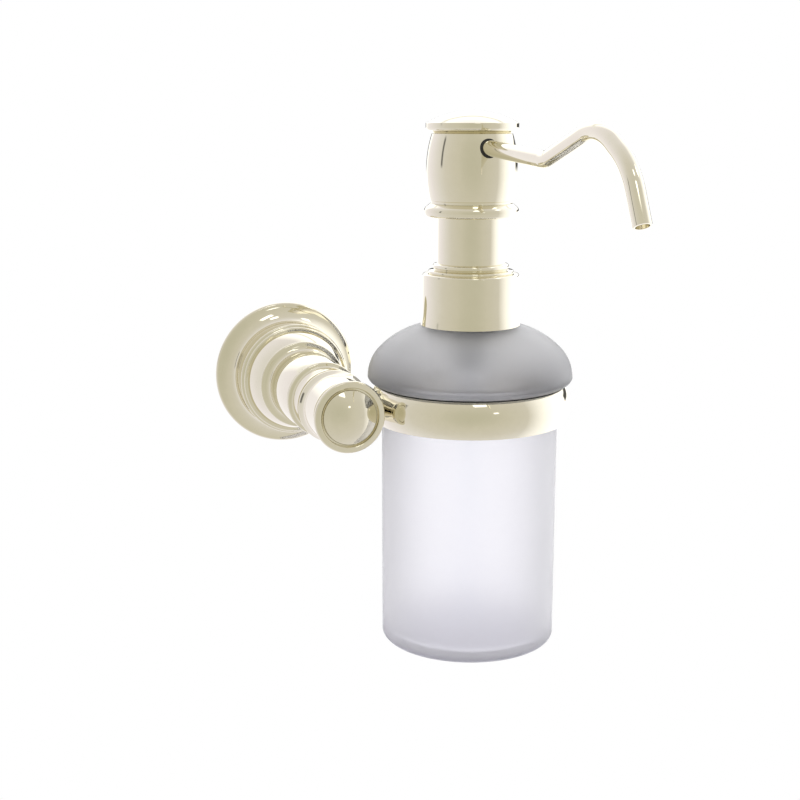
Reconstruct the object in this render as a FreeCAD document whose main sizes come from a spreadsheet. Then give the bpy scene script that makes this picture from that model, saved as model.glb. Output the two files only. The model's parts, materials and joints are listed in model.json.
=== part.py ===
import FreeCAD, Part
import math
import os

import Sketcher

# Wall mounted soap dispenser: a turned post stands out from the wall and carries a ring,
# a glass bottle hangs in the ring by its shoulder, and a lotion pump closes the bottle.
#
# Row frame, in millimetres: the origin is on the wall plane at the post's axis, +X points
# along the wall towards the bottle, -Y points out of the wall and +Z points up.

DRIVING_SIZES = {
    # wall post, heights measured out from the wall
    "flange_radius": 31.2,
    "flange_rim": 2.6,
    "bell_top": 17.8,
    "bell_top_radius": 23.2,
    "step_top": 21.4,
    "cone_top": 31.4,
    "cone_top_radius": 18.2,
    "flange_height": 35.0,
    "neck_radius": 15.2,
    "neck_end": 61.5,
    "neck_end_radius": 13.9,
    "bead_radius": 14.9,
    "bead_width": 5.0,
    "knob_waist": 12.9,
    "knob_lip": 14.0,
    "knob_shoulder": 14.4,
    "knob_back": 79.0,
    "knob_front": 101.0,
    "finial_radius": 10.6,
    "finial_crown": 3.4,
    "finial_recess": 2.0,
    "finial_groove": 0.75,
    "finial_spigot": 1.6,
    "rod_radius": 3.0,
    # bracket behind the flange
    "bracket_radius": 24.5,
    "bracket_plate": 3.0,
    "boss_radius": 11.0,
    "boss_height": 16.0,
    "bolt_spacing": 33.0,
    "bolt_hole": 2.3,
    "screw_head_room": 4.6,
    "grub_radius": 2.0,
    "grub_height": 11.5,
    # ring that holds the bottle
    "ring_play": 1.0,
    "ring_wall": 3.9,
    "ring_height": 14.4,
    "ring_bulge": 2.4,
    "ring_link": 1.1,
    "ring_reach": 87.3,
    "stub_radius": 4.0,
    "stub_socket": 3.0,
    "stub_seat": 1.4,
    "ring_screw_radius": 1.9,
    "gasket_thickness": 0.5,
    # bottle
    "bottle_radius": 35.0,
    "bottle_depth": 97.5,
    "glass_wall": 2.6,
    "glass_base": 3.5,
    "shoulder_overhang": 5.65,
    "shoulder_round": 16.0,
    "shoulder_crown": 34.0,
    "shoulder_widest": 10.5,
    "shoulder_turn": 45.0,
    "shoulder_seat": 2.1,
    "mouth_radius": 15.6,
    "mouth_height": 46.0,
    # collar and its sleeve, the steps are measured outwards from the sleeve
    "sleeve_radius": 13.2,
    "collar_step": 5.8,
    "collar_wall": 1.1,
    "collar_flare": 0.6,
    "collar_flare_height": 9.0,
    "collar_clear": 0.2,
    "collar_top": 51.4,
    "collar_bead_step": 1.7,
    "collar_bead_top": 55.4,
    "sleeve_wall": 1.0,
    "sleeve_top": 78.0,
    # pump
    "stroke": 14.0,
    "cylinder_radius": 7.0,
    "cylinder_wall": 1.2,
    "cylinder_floor": 15.0,
    "flange_thickness": 1.2,
    "retainer_plug": 2.8,
    "inlet_depth": 6.4,
    "cage_thickness": 1.2,
    "piston_height": 6.0,
    "piston_gap": 1.2,
    "stem_radius": 4.0,
    "stem_bore": 1.5,
    "stem_top": 92.0,
    "outlet_depth": 12.0,
    "inlet_ball_radius": 2.4,
    "inlet_seat": 1.7,
    "outlet_ball_radius": 2.2,
    "dip_tube_radius": 3.0,
    "dip_tube_wall": 0.7,
    "dip_tube_gap": 3.0,
    "spring_radius": 5.7,
    "spring_wire": 0.55,
    "spring_coils": 6.0,
    # head, the steps are measured outwards from the sleeve
    "head_bottom": 73.3,
    "head_ring_step": 4.9,
    "head_ring_height": 5.2,
    "head_low_step": 3.2,
    "head_wide_step": 4.5,
    "head_wide_height": 91.0,
    "head_top_step": 2.4,
    "head_top": 105.0,
    "cap_step": 4.7,
    "cap_rim": 3.2,
    "cap_crown": 4.5,
    "cap_plug": 1.2,
    "barrel_mouth": 2.8,
    # spout, measured from the pump's axis and from the height of its root
    "spout_radius": 3.0,
    "spout_wall": 0.8,
    "spout_cover": 0.4,
    "spout_start": 7.0,
    "seal_start": 10.2,
    "seal_wall": 0.7,
    "seal_lip": 1.8,
    "droop_reach": 20.0,
    "bend_reach": 66.5,
    "bend_drop": 3.0,
    "crest_reach": 103.9,
    "crest_rise": 9.1,
    "fall_reach": 125.0,
    "fall_drop": 3.0,
    "spout_reach": 133.5,
    "tip_drop": 20.5,
    "droop_bend": 55.0,
    "elbow_bend": 15.5,
    "crest_bend": 25.0,
    "fall_bend": 28.0,
    # fits
    "running_fit": 0.06,
    "sleeve_fit": 0.1,
    "thread_fit": 0.15,
    "loose_fit": 0.4,
}

doc = FreeCAD.newDocument("soap_dispenser")
sheet = doc.addObject("Spreadsheet::Sheet", "sizes")
nodes = []
cuts = []


class Size:
    """A number together with the expression over the sheet that gives it."""

    def __init__(self, value, text):
        self.value = float(value)
        self.text = text

    def __add__(self, other):
        other = as_size(other)
        return Size(self.value + other.value, f"({self.text} + {other.text})")

    def __sub__(self, other):
        other = as_size(other)
        return Size(self.value - other.value, f"({self.text} - {other.text})")

    def __mul__(self, other):
        other = as_size(other)
        return Size(self.value * other.value, f"({self.text} * {other.text})")

    def __truediv__(self, other):
        other = as_size(other)
        return Size(self.value / other.value, f"({self.text} / {other.text})")

    def __neg__(self):
        return Size(-self.value, f"(0 - {self.text})")


def as_size(number):
    """Return a Size for a Size or a plain number."""
    if isinstance(number, Size):
        return number
    return Size(number, f"{float(number)}")


def root_of(size):
    return Size(math.sqrt(size.value), f"sqrt({size.text})")


def sine_of(degrees):
    return Size(math.sin(math.radians(degrees.value)), f"sin({degrees.text} * 1 deg)")


def cosine_of(degrees):
    return Size(math.cos(math.radians(degrees.value)), f"cos({degrees.text} * 1 deg)")


def fill_sheet():
    """Write every driving size to its own cell and return the sizes by name."""
    by_name = {}
    for row, (name, number) in enumerate(DRIVING_SIZES.items(), start=1):
        sheet.set(f"A{row}", name)
        sheet.set(f"B{row}", str(number))
        sheet.setAlias(f"B{row}", name)
        by_name[name] = Size(number, f"sizes.{name}")
    doc.recompute()
    return by_name


class Sizes:
    """The driving sizes as attributes, for reading in formulas."""

    def __init__(self, by_name):
        self.__dict__.update(by_name)


S = Sizes(fill_sheet())
ZERO = as_size(0)


# ---------------------------------------------------------------- drawing helpers


def origin_plane(body, role):
    for feature in body.Origin.OriginFeatures:
        if feature.Role == role:
            return feature
    raise ValueError(f"{body.Label} has no {role}")


def new_body(name):
    body = doc.addObject("PartDesign::Body", name)
    body.Label = name
    nodes.append(body)
    return body


def bind(owner, path, size):
    owner.setExpression(path, as_size(size).text)


def attach(body, name, role, shift=None):
    """Add a sketch on one of the body's own planes, its origin raised by shift."""
    sketch = body.newObject("Sketcher::SketchObject", name)
    sketch.AttachmentSupport = [(origin_plane(body, role), "")]
    sketch.MapMode = "FlatFace"
    if shift is not None:
        bind(sketch, "AttachmentOffset.Base.y", shift)
    return sketch


def hold(sketch, geometry, vertex, across, along, label):
    """Fix one point of a sketch by its two distances from the sketch's origin."""
    for axis, kind, size in ((-2, "DistanceX", across), (-1, "DistanceY", along)):
        if abs(size.value) < 1e-9:
            sketch.addConstraint(Sketcher.Constraint("PointOnObject", geometry, vertex, axis))
            continue
        rule = Sketcher.Constraint(kind, -1, 1, geometry, vertex, size.value)
        index = sketch.addConstraint(rule)
        sketch.renameConstraint(index, f"{kind}_{label}")
        bind(sketch, f"Constraints.{kind}_{label}", size)


def arc_between(start, end, radius, turn):
    """Arc of the given radius that turns left (turn 1) or right (turn -1)."""
    chord = end - start
    half = chord.Length / 2
    left = FreeCAD.Vector(-chord.y, chord.x, 0).normalize()
    depth = math.sqrt(max(radius * radius - half * half, 0.0))
    centre = (start + end) / 2 + left * (turn * depth)
    first, last = (start, end) if turn > 0 else (end, start)
    begin = math.atan2(first.y - centre.y, first.x - centre.x)
    finish = math.atan2(last.y - centre.y, last.x - centre.x)
    if finish < begin:
        finish += 2 * math.pi
    circle = Part.Circle(centre, FreeCAD.Vector(0, 0, 1), radius)
    return Part.ArcOfCircle(circle, begin, finish)


def draw_outline(sketch, corners):
    """Draw a closed outline.

    A corner is (across, along) where a straight edge arrives, or (across, along, radius,
    turn) where an arc of that radius arrives. An arc that arrives on the turning axis is
    centred on it, so that it turns into a piece of a ball.
    """
    corners = [tuple(as_size(entry) for entry in corner) for corner in corners]
    points = [FreeCAD.Vector(corner[0].value, corner[1].value, 0) for corner in corners]
    edges = []
    for number, start in enumerate(points):
        following = (number + 1) % len(points)
        arrival = corners[following]
        if len(arrival) == 2:
            edge = sketch.addGeometry(Part.LineSegment(start, points[following]), False)
            edges.append((edge, 1, 2))
            continue
        radius, turn = arrival[2], arrival[3].value
        arc = arc_between(start, points[following], radius.value, turn)
        edge = sketch.addGeometry(arc, False)
        if abs(points[following].x) < 1e-9:
            sketch.addConstraint(Sketcher.Constraint("PointOnObject", edge, 3, -2))
        else:
            index = sketch.addConstraint(Sketcher.Constraint("Radius", edge, radius.value))
            sketch.renameConstraint(index, f"bend_{following}")
            bind(sketch, f"Constraints.bend_{following}", radius)
        edges.append((edge, 1, 2) if turn > 0 else (edge, 2, 1))
    for number, (edge, begin, _) in enumerate(edges):
        before, _, finish = edges[number - 1]
        sketch.addConstraint(Sketcher.Constraint("Coincident", before, finish, edge, begin))
        hold(sketch, edge, begin, corners[number][0], corners[number][1], number)


def draw_circle(sketch, across, along, radius):
    """Draw a circle with its centre at two distances from the sketch's origin."""
    centre = FreeCAD.Vector(across.value, along.value, 0)
    circle = Part.Circle(centre, FreeCAD.Vector(0, 0, 1), radius.value)
    edge = sketch.addGeometry(circle, False)
    index = sketch.addConstraint(Sketcher.Constraint("Radius", edge, radius.value))
    sketch.renameConstraint(index, f"circle_{edge}")
    bind(sketch, f"Constraints.circle_{edge}", radius)
    hold(sketch, edge, 3, across, along, f"centre_{edge}")


def crown_radius(edge, rise):
    """Radius of a ball whose cap has the given edge radius and rise."""
    return (edge * edge + rise * rise) / (rise * 2)


def turned(name, corners):
    """Body turned about its own Z axis from an outline of (radius, height) corners."""
    body = new_body(name)
    sketch = attach(body, f"{name}_outline", "XZ_Plane")
    draw_outline(sketch, corners)
    turning = body.newObject("PartDesign::Revolution", f"{name}_turning")
    turning.Profile = sketch
    turning.ReferenceAxis = (sketch, ["V_Axis"])
    turning.Angle = 360
    body.Tip = turning
    return body


def bored(body, name, role, corners, shift=None):
    """Cut a turned hollow about the horizontal axis of a sketch in the body."""
    before = body.Tip
    sketch = attach(body, f"{name}_outline", role, shift)
    draw_outline(sketch, corners)
    groove = body.newObject("PartDesign::Groove", name)
    groove.Profile = sketch
    groove.ReferenceAxis = (sketch, ["H_Axis"])
    groove.Angle = 360
    body.Tip = groove
    cuts.append((before, groove))
    return groove


def ring_outline(inner, outer, bottom, top):
    """Rectangular section between two radii and two heights."""
    return [(inner, bottom), (outer, bottom), (outer, top), (inner, top)]


def stand_on_pump_axis(body):
    """Move a body onto the bottle's axis."""
    bind(body, "Placement.Base.x", PUMP_X)
    bind(body, "Placement.Base.y", -S.ring_reach)


def lie_along_post(body):
    """Turn a body so that its Z axis points straight out of the wall."""
    body.Placement = FreeCAD.Placement(
        FreeCAD.Vector(0, 0, 0), FreeCAD.Rotation(FreeCAD.Vector(1, 0, 0), 90)
    )


def lie_along_link(body, start):
    """Turn a body so that its Z axis points from the post to the bottle's axis."""
    body.Placement = FreeCAD.Placement(
        FreeCAD.Vector(0, 0, 0), FreeCAD.Rotation(FreeCAD.Vector(0, 1, 0), 90)
    )
    bind(body, "Placement.Base.x", start)
    bind(body, "Placement.Base.y", -S.ring_reach)


# ---------------------------------------------------------------- shared derived sizes

RING_INNER = S.bottle_radius + S.ring_play
RING_OUTER = RING_INNER + S.ring_wall
RING_TOP = S.ring_height / 2
PUMP_X = RING_OUTER + S.ring_link + S.knob_waist

FINIAL_SEAT = S.knob_front - S.finial_recess
FINIAL_SPIGOT = S.rod_radius + 3
SPIGOT_DEPTH = S.finial_spigot
ROD_END = S.knob_front - 0.6

SEAT_LEVEL = RING_TOP + S.gasket_thickness
SHOULDER_RADIUS = S.bottle_radius + S.shoulder_overhang
SHOULDER_CENTRE = SHOULDER_RADIUS - S.shoulder_round
CROWN_SHIFT = S.shoulder_crown - S.shoulder_round
CROWN_ACROSS = SHOULDER_CENTRE - CROWN_SHIFT * cosine_of(S.shoulder_turn)
CROWN_UP = S.shoulder_widest - CROWN_SHIFT * sine_of(S.shoulder_turn)

GASKET_TOP = S.mouth_height + S.gasket_thickness
CYLINDER_TOP = GASKET_TOP + S.flange_thickness
CYLINDER_OUTER = S.cylinder_radius + S.cylinder_wall
RETAINER_PLUG = CYLINDER_TOP - S.retainer_plug
PISTON_TOP = RETAINER_PLUG - S.piston_gap
PISTON_BOTTOM = PISTON_TOP - S.piston_height
SPRING_FLOOR = S.cylinder_floor + S.cage_thickness
SEAT_HEIGHT = S.cylinder_floor - S.inlet_depth
STEM_OUTLET = S.stem_top - S.outlet_depth
HEAD_CEILING = S.sleeve_top + S.stroke + S.loose_fit
COLLAR_RADIUS = S.sleeve_radius + S.collar_step
COLLAR_BEAD = S.sleeve_radius + S.collar_bead_step
HEAD_RING_RADIUS = S.sleeve_radius + S.head_ring_step
HEAD_LOW_RADIUS = S.sleeve_radius + S.head_low_step
HEAD_WIDE_RADIUS = S.sleeve_radius + S.head_wide_step
HEAD_TOP_RADIUS = S.sleeve_radius + S.head_top_step
CAP_RADIUS = S.sleeve_radius + S.cap_step
HEAD_MOUTH = HEAD_TOP_RADIUS - S.barrel_mouth
SPOUT_HEIGHT = S.head_top - S.cap_plug - S.spout_cover - S.seal_wall - S.spout_radius
BALL_GAP = as_size(0.05)
RING_SCREW_HEAD = S.ring_screw_radius * 1.9
RING_SCREW_CONE = S.ring_screw_radius * 0.9
SCREW_SINK = as_size(0.3)


def crown_height(radius, inset):
    """Height of the shoulder's upper arc at a radius, inset being the wall taken off."""
    across = radius - CROWN_ACROSS
    reach = S.shoulder_crown - inset
    return CROWN_UP + root_of(reach * reach - across * across)


COLLAR_FOOT = COLLAR_RADIUS + S.collar_flare
COLLAR_BOTTOM = crown_height(COLLAR_FOOT, ZERO) + S.collar_clear


# ---------------------------------------------------------------- wall post


def wall_bracket():
    """Disc screwed to the wall, with the boss that the flange slides over."""
    body = turned(
        "wall_bracket",
        [
            (ZERO, 0),
            (S.bracket_radius, 0),
            (S.bracket_radius, S.bracket_plate),
            (S.boss_radius, S.bracket_plate),
            (S.boss_radius, S.boss_height),
            (S.rod_radius, S.boss_height),
            (S.rod_radius, S.bracket_plate + 1),
            (ZERO, S.bracket_plate + 1),
        ],
    )
    sketch = attach(body, "bolt_holes_outline", "XY_Plane")
    for side in (-1, 1):
        draw_circle(sketch, ZERO, S.bolt_spacing * side / 2, S.bolt_hole)
    before = body.Tip
    pocket = body.newObject("PartDesign::Pocket", "bolt_holes")
    pocket.Profile = sketch
    pocket.Type = 1
    pocket.Reversed = True
    body.Tip = pocket
    cuts.append((before, pocket))
    lie_along_post(body)


def wall_flange():
    """Bell shaped rose over the bracket, with two turned steps."""
    rod_hole = S.rod_radius + S.running_fit
    boss_hole = S.boss_radius + S.running_fit
    plate_hole = S.bracket_radius + S.loose_fit
    head_room = S.bracket_plate + S.screw_head_room
    cove = S.cone_top_radius - S.neck_radius
    body = turned(
        "wall_flange",
        [
            (plate_hole, 0),
            (S.flange_radius - 0.9, 0),
            (S.flange_radius, 1.3, 1.6, 1),
            (S.flange_radius - 0.8, S.flange_rim, 1.5, 1),
            (S.flange_radius - 1.3, S.flange_rim),
            (S.bell_top_radius + 2.0, S.flange_rim + 2.3, 10.8, -1),
            (S.bell_top_radius + 0.1, S.flange_rim + 6.4, 5.4, -1),
            (S.bell_top_radius, S.bell_top),
            (S.bell_top_radius + 0.5, S.bell_top + 0.2),
            (S.bell_top_radius - 0.1, S.bell_top + 1.7, 0.95, 1),
            (S.bell_top_radius - 0.6, S.bell_top + 1.9),
            (S.bell_top_radius - 0.5, S.bell_top + 2.1),
            (S.bell_top_radius - 1.2, S.step_top, 0.95, 1),
            (S.bell_top_radius - 1.9, S.step_top),
            (S.cone_top_radius - 0.3, S.cone_top, 40, 1),
            (S.cone_top_radius, S.cone_top + 0.2),
            (S.cone_top_radius - 0.3, S.cone_top + 1.6, 0.9, 1),
            (S.cone_top_radius - 1.3, S.cone_top + 1.7),
            (S.neck_radius - 0.4, S.flange_height, cove - 0.4, -1),
            (rod_hole, S.flange_height),
            (rod_hole, S.flange_height - 5),
            (S.boss_radius - 1, S.flange_height - 5),
            (S.boss_radius - 1, S.boss_height + 0.5),
            (boss_hole, S.boss_height + 0.5),
            (boss_hole, head_room),
            (S.bracket_radius - 3, head_room),
            (S.bracket_radius - 3, S.bracket_plate + 0.2),
            (plate_hole, S.bracket_plate + 0.2),
        ],
    )
    bored(
        body,
        "grub_hole",
        "YZ_Plane",
        [
            (-S.boss_radius, 0),
            (-S.flange_radius - 1, 0),
            (-S.flange_radius - 1, S.grub_radius),
            (-S.boss_radius, S.grub_radius),
        ],
        S.grub_height,
    )
    lie_along_post(body)


def flange_set_screw():
    """Grub screw under the flange that locks it to the bracket's boss."""
    length = S.bell_top_radius - S.boss_radius - 1.5
    blank = doc.addObject("Part::Cylinder", "grub_blank")
    bind(blank, "Radius", S.grub_radius)
    bind(blank, "Height", length)
    socket = doc.addObject("Part::Prism", "grub_socket")
    socket.Polygon = 6
    bind(socket, "Circumradius", S.grub_radius * 0.58)
    bind(socket, "Height", S.grub_radius)
    screw = doc.addObject("Part::Cut", "flange_set_screw")
    screw.Base = blank
    screw.Tool = socket
    screw.Label = "flange_set_screw"
    bind(screw, "Placement.Base.y", -S.grub_height)
    bind(screw, "Placement.Base.z", -(S.boss_radius + length))
    nodes.append(screw)
    cuts.append((blank, screw))


def post_neck():
    """Barrel shaped neck between the flange and the fine beads."""
    rod_hole = S.rod_radius + S.running_fit
    lie_along_post(
        turned(
            "post_neck",
            [
                (rod_hole, S.flange_height),
                (S.neck_radius - 0.4, S.flange_height),
                (S.neck_radius, S.flange_height + 4, 30, 1),
                (S.neck_end_radius, S.neck_end, 90, 1),
                (rod_hole, S.neck_end),
            ],
        )
    )


def bead_collar():
    """Separate turned ring with two fine beads and a cove."""
    rod_hole = S.rod_radius + S.running_fit
    end = S.neck_end + S.bead_width
    lie_along_post(
        turned(
            "bead_collar",
            [
                (rod_hole, S.neck_end),
                (S.bead_radius - 0.6, S.neck_end),
                (S.bead_radius - 0.6, S.neck_end + 1.5, 0.8, 1),
                (S.bead_radius - 0.9, S.neck_end + 1.8),
                (S.bead_radius - 0.3, S.neck_end + 2.1),
                (S.bead_radius - 0.3, S.neck_end + 3.9, 1.0, 1),
                (S.bead_radius - 1.2, S.neck_end + 4.2),
                (S.bead_radius - 1.7, end),
                (rod_hole, end),
            ],
        )
    )


def post_knob():
    """Drum at the end of the post, waisted where the ring's stub goes in."""
    rod_hole = S.rod_radius + S.running_fit
    spigot_hole = FINIAL_SPIGOT + S.running_fit
    start = S.neck_end + S.bead_width
    lip = S.knob_front - 2.4
    body = turned(
        "post_knob",
        [
            (rod_hole, start),
            (S.bead_radius - 1.7, start),
            (S.knob_shoulder - 0.9, S.knob_back - 1.2, 16, -1),
            (S.knob_shoulder, S.knob_back - 0.4, 0.9, 1),
            (S.knob_shoulder - 0.2, S.knob_back + 0.6, 1.2, 1),
            (S.knob_waist, S.ring_reach - S.stub_radius - 1, 14, -1),
            (S.knob_waist, S.ring_reach + S.stub_radius + 1),
            (S.knob_lip - 0.5, lip, 16, -1),
            (S.knob_lip, lip + 0.9, 1.3, 1),
            (S.knob_lip - 0.5, S.knob_front, 1.7, 1),
            (S.finial_radius + S.finial_groove + 0.4, S.knob_front + 0.3),
            (S.finial_radius + S.finial_groove, S.knob_front - 0.1),
            (S.finial_radius + S.finial_groove, FINIAL_SEAT),
            (spigot_hole, FINIAL_SEAT),
            (spigot_hole, FINIAL_SEAT - SPIGOT_DEPTH),
            (rod_hole, FINIAL_SEAT - SPIGOT_DEPTH),
        ],
    )
    bored(
        body,
        "stub_hole",
        "XZ_Plane",
        [
            (S.knob_waist - S.stub_socket, 0),
            (S.knob_waist + 2, 0),
            (S.knob_waist + 2, S.stub_radius),
            (S.knob_waist - S.stub_socket, S.stub_radius),
        ],
        S.ring_reach,
    )
    lie_along_post(body)


def knob_finial():
    """Domed nut that closes the knob and pulls the post together on its rod."""
    spigot_end = FINIAL_SEAT - SPIGOT_DEPTH
    crown = crown_radius(S.finial_radius - 0.4, S.finial_crown - 0.1)
    lie_along_post(
        turned(
            "knob_finial",
            [
                (S.rod_radius, spigot_end),
                (FINIAL_SPIGOT, spigot_end),
                (FINIAL_SPIGOT, FINIAL_SEAT),
                (S.finial_radius, FINIAL_SEAT),
                (S.finial_radius, S.knob_front - 0.4),
                (S.finial_radius - 0.4, S.knob_front + 0.1, 0.6, 1),
                (ZERO, S.knob_front + S.finial_crown, crown, 1),
                (ZERO, ROD_END),
                (S.rod_radius, ROD_END),
            ],
        )
    )


def tie_rod():
    """Threaded rod that draws finial, knob, neck and flange onto the bracket's boss."""
    rod = doc.addObject("Part::Cylinder", "tie_rod")
    rod.Label = "tie_rod"
    start = S.bracket_plate + 1
    bind(rod, "Radius", S.rod_radius)
    bind(rod, "Height", ROD_END - start)
    rod.Placement = FreeCAD.Placement(
        FreeCAD.Vector(0, 0, 0), FreeCAD.Rotation(FreeCAD.Vector(1, 0, 0), 90)
    )
    bind(rod, "Placement.Base.y", -start)
    nodes.append(rod)


# ---------------------------------------------------------------- ring


def ring_link():
    """Stub between the knob and the ring, and the screw that holds the ring on it."""
    stub_length = S.stub_socket + S.ring_link + S.stub_seat
    screw_hole = S.ring_screw_radius
    lie_along_link(
        turned(
            "ring_stub",
            [
                (screw_hole, 0),
                (S.stub_radius, 0),
                (S.stub_radius, stub_length),
                (screw_hole, stub_length),
            ],
        ),
        S.knob_waist - S.stub_socket,
    )
    ring_face = S.ring_wall - S.stub_seat
    lie_along_link(
        turned(
            "ring_screw",
            [
                (ZERO, -stub_length),
                (screw_hole, -stub_length),
                (screw_hole, ring_face - RING_SCREW_CONE - SCREW_SINK),
                (RING_SCREW_HEAD, ring_face - SCREW_SINK),
                (ZERO, ring_face - SCREW_SINK),
            ],
        ),
        PUMP_X - RING_OUTER + S.stub_seat,
    )


def holder_ring():
    """Polished band with a bulged outside that carries the bottle by its shoulder."""
    edge = RING_OUTER - S.ring_bulge
    bottom = -RING_TOP
    bulge = crown_radius(RING_TOP, S.ring_bulge)
    body = turned(
        "holder_ring",
        [
            (RING_INNER, bottom + 0.5),
            (RING_INNER + 0.5, bottom, 0.5, 1),
            (edge, bottom),
            (edge, RING_TOP, bulge, 1),
            (RING_INNER + 0.5, RING_TOP),
            (RING_INNER, RING_TOP - 0.5, 0.5, 1),
        ],
    )
    sink = -(RING_OUTER - S.ring_wall)
    bored(
        body,
        "stub_recess",
        "XZ_Plane",
        [
            (sink + 1, 0),
            (sink + 1, RING_SCREW_HEAD),
            (sink - SCREW_SINK, RING_SCREW_HEAD),
            (sink - SCREW_SINK - RING_SCREW_CONE, S.ring_screw_radius),
            (-RING_OUTER + S.stub_seat, S.ring_screw_radius),
            (-RING_OUTER + S.stub_seat, S.stub_radius),
            (-RING_OUTER - 2, S.stub_radius),
            (-RING_OUTER - 2, 0),
        ],
    )
    stand_on_pump_axis(body)


def ring_gasket():
    """Flat washer on the ring's top edge, under the bottle's shoulder."""
    outer = RING_OUTER - S.ring_bulge
    stand_on_pump_axis(turned("ring_gasket", ring_outline(RING_INNER, outer, RING_TOP, SEAT_LEVEL)))


# ---------------------------------------------------------------- bottle


def glass_bottle():
    """Hollow bottle: straight body, bulging shoulder that rests on the ring, and mouth."""
    seat_outer = S.bottle_radius + S.shoulder_seat
    turn_across = SHOULDER_CENTRE + S.shoulder_round * cosine_of(S.shoulder_turn)
    turn_up = S.shoulder_widest + S.shoulder_round * sine_of(S.shoulder_turn)
    inner_round = S.shoulder_round - S.glass_wall
    inner_across = SHOULDER_CENTRE + inner_round * cosine_of(S.shoulder_turn)
    inner_up = S.shoulder_widest + inner_round * sine_of(S.shoulder_turn)
    inner_radius = S.bottle_radius - S.glass_wall
    mouth_inner = S.mouth_radius - S.glass_wall
    floor = -(S.bottle_depth - S.glass_base)
    under = SEAT_LEVEL + S.glass_wall
    stand_on_pump_axis(
        turned(
            "glass_bottle",
            [
                (ZERO, -S.bottle_depth),
                (S.bottle_radius - 2.5, -S.bottle_depth),
                (S.bottle_radius, -S.bottle_depth + 2.5, 2.5, 1),
                (S.bottle_radius, SEAT_LEVEL),
                (seat_outer, SEAT_LEVEL),
                (SHOULDER_RADIUS, S.shoulder_widest, 4.4, 1),
                (turn_across, turn_up, S.shoulder_round, 1),
                (S.mouth_radius, crown_height(S.mouth_radius, ZERO), S.shoulder_crown, 1),
                (S.mouth_radius, S.mouth_height - 0.6),
                (S.mouth_radius - 0.6, S.mouth_height, 0.6, 1),
                (mouth_inner, S.mouth_height),
                (mouth_inner, crown_height(mouth_inner, S.glass_wall)),
                (inner_across, inner_up, S.shoulder_crown - S.glass_wall, -1),
                (SHOULDER_RADIUS - S.glass_wall, under + 0.6, inner_round, -1),
                (inner_radius, under - 0.6),
                (inner_radius, floor + 4),
                (inner_radius - 4, floor, 4, -1),
                (ZERO, floor),
            ],
        )
    )


# ---------------------------------------------------------------- collar


def collar_parts():
    """Metal collar, its threaded insert, and the sleeve that the head slides on."""
    shell_inner = COLLAR_RADIUS - S.collar_wall
    web_bottom = S.collar_top - 1.4
    flare = crown_radius(S.collar_flare_height, S.collar_flare)
    bead = COLLAR_BEAD
    stand_on_pump_axis(
        turned(
            "collar_shell",
            [
                (shell_inner, COLLAR_BOTTOM + 0.4),
                (COLLAR_FOOT, COLLAR_BOTTOM),
                (COLLAR_RADIUS, COLLAR_BOTTOM + S.collar_flare_height, flare, -1),
                (COLLAR_RADIUS, S.collar_top - 0.9),
                (COLLAR_RADIUS - 0.9, S.collar_top, 0.9, 1),
                (bead + 1.7, S.collar_top),
                (bead + 1.7, S.collar_top + 1.2, 0.85, 1),
                (bead + 0.3, S.collar_top + 1.4),
                (bead - 0.4, S.collar_bead_top - 2.2, 1.6, -1),
                (bead - 0.5, S.collar_bead_top - 0.3, 1.1, 1),
                (S.sleeve_radius + 0.3, S.collar_bead_top),
                (S.sleeve_radius, S.collar_bead_top - 0.3),
                (S.sleeve_radius, web_bottom),
                (shell_inner, web_bottom),
            ],
        )
    )
    thread = S.mouth_radius + S.thread_fit
    web_inner = S.stem_radius + 7.2
    stand_on_pump_axis(
        turned(
            "closure_insert",
            [
                (thread, COLLAR_BOTTOM + 1.4),
                (shell_inner, COLLAR_BOTTOM + 1.4),
                (shell_inner, web_bottom),
                (web_inner, web_bottom),
                (web_inner, CYLINDER_TOP + 0.05),
                (thread, CYLINDER_TOP + 0.05),
            ],
        )
    )
    stand_on_pump_axis(
        turned(
            "guide_sleeve",
            [
                (S.sleeve_radius - S.sleeve_wall, web_bottom),
                (S.sleeve_radius, web_bottom),
                (S.sleeve_radius, S.sleeve_top - 0.4),
                (S.sleeve_radius - 0.4, S.sleeve_top),
                (S.sleeve_radius - S.sleeve_wall, S.sleeve_top),
            ],
        )
    )


# ---------------------------------------------------------------- pump


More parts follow.
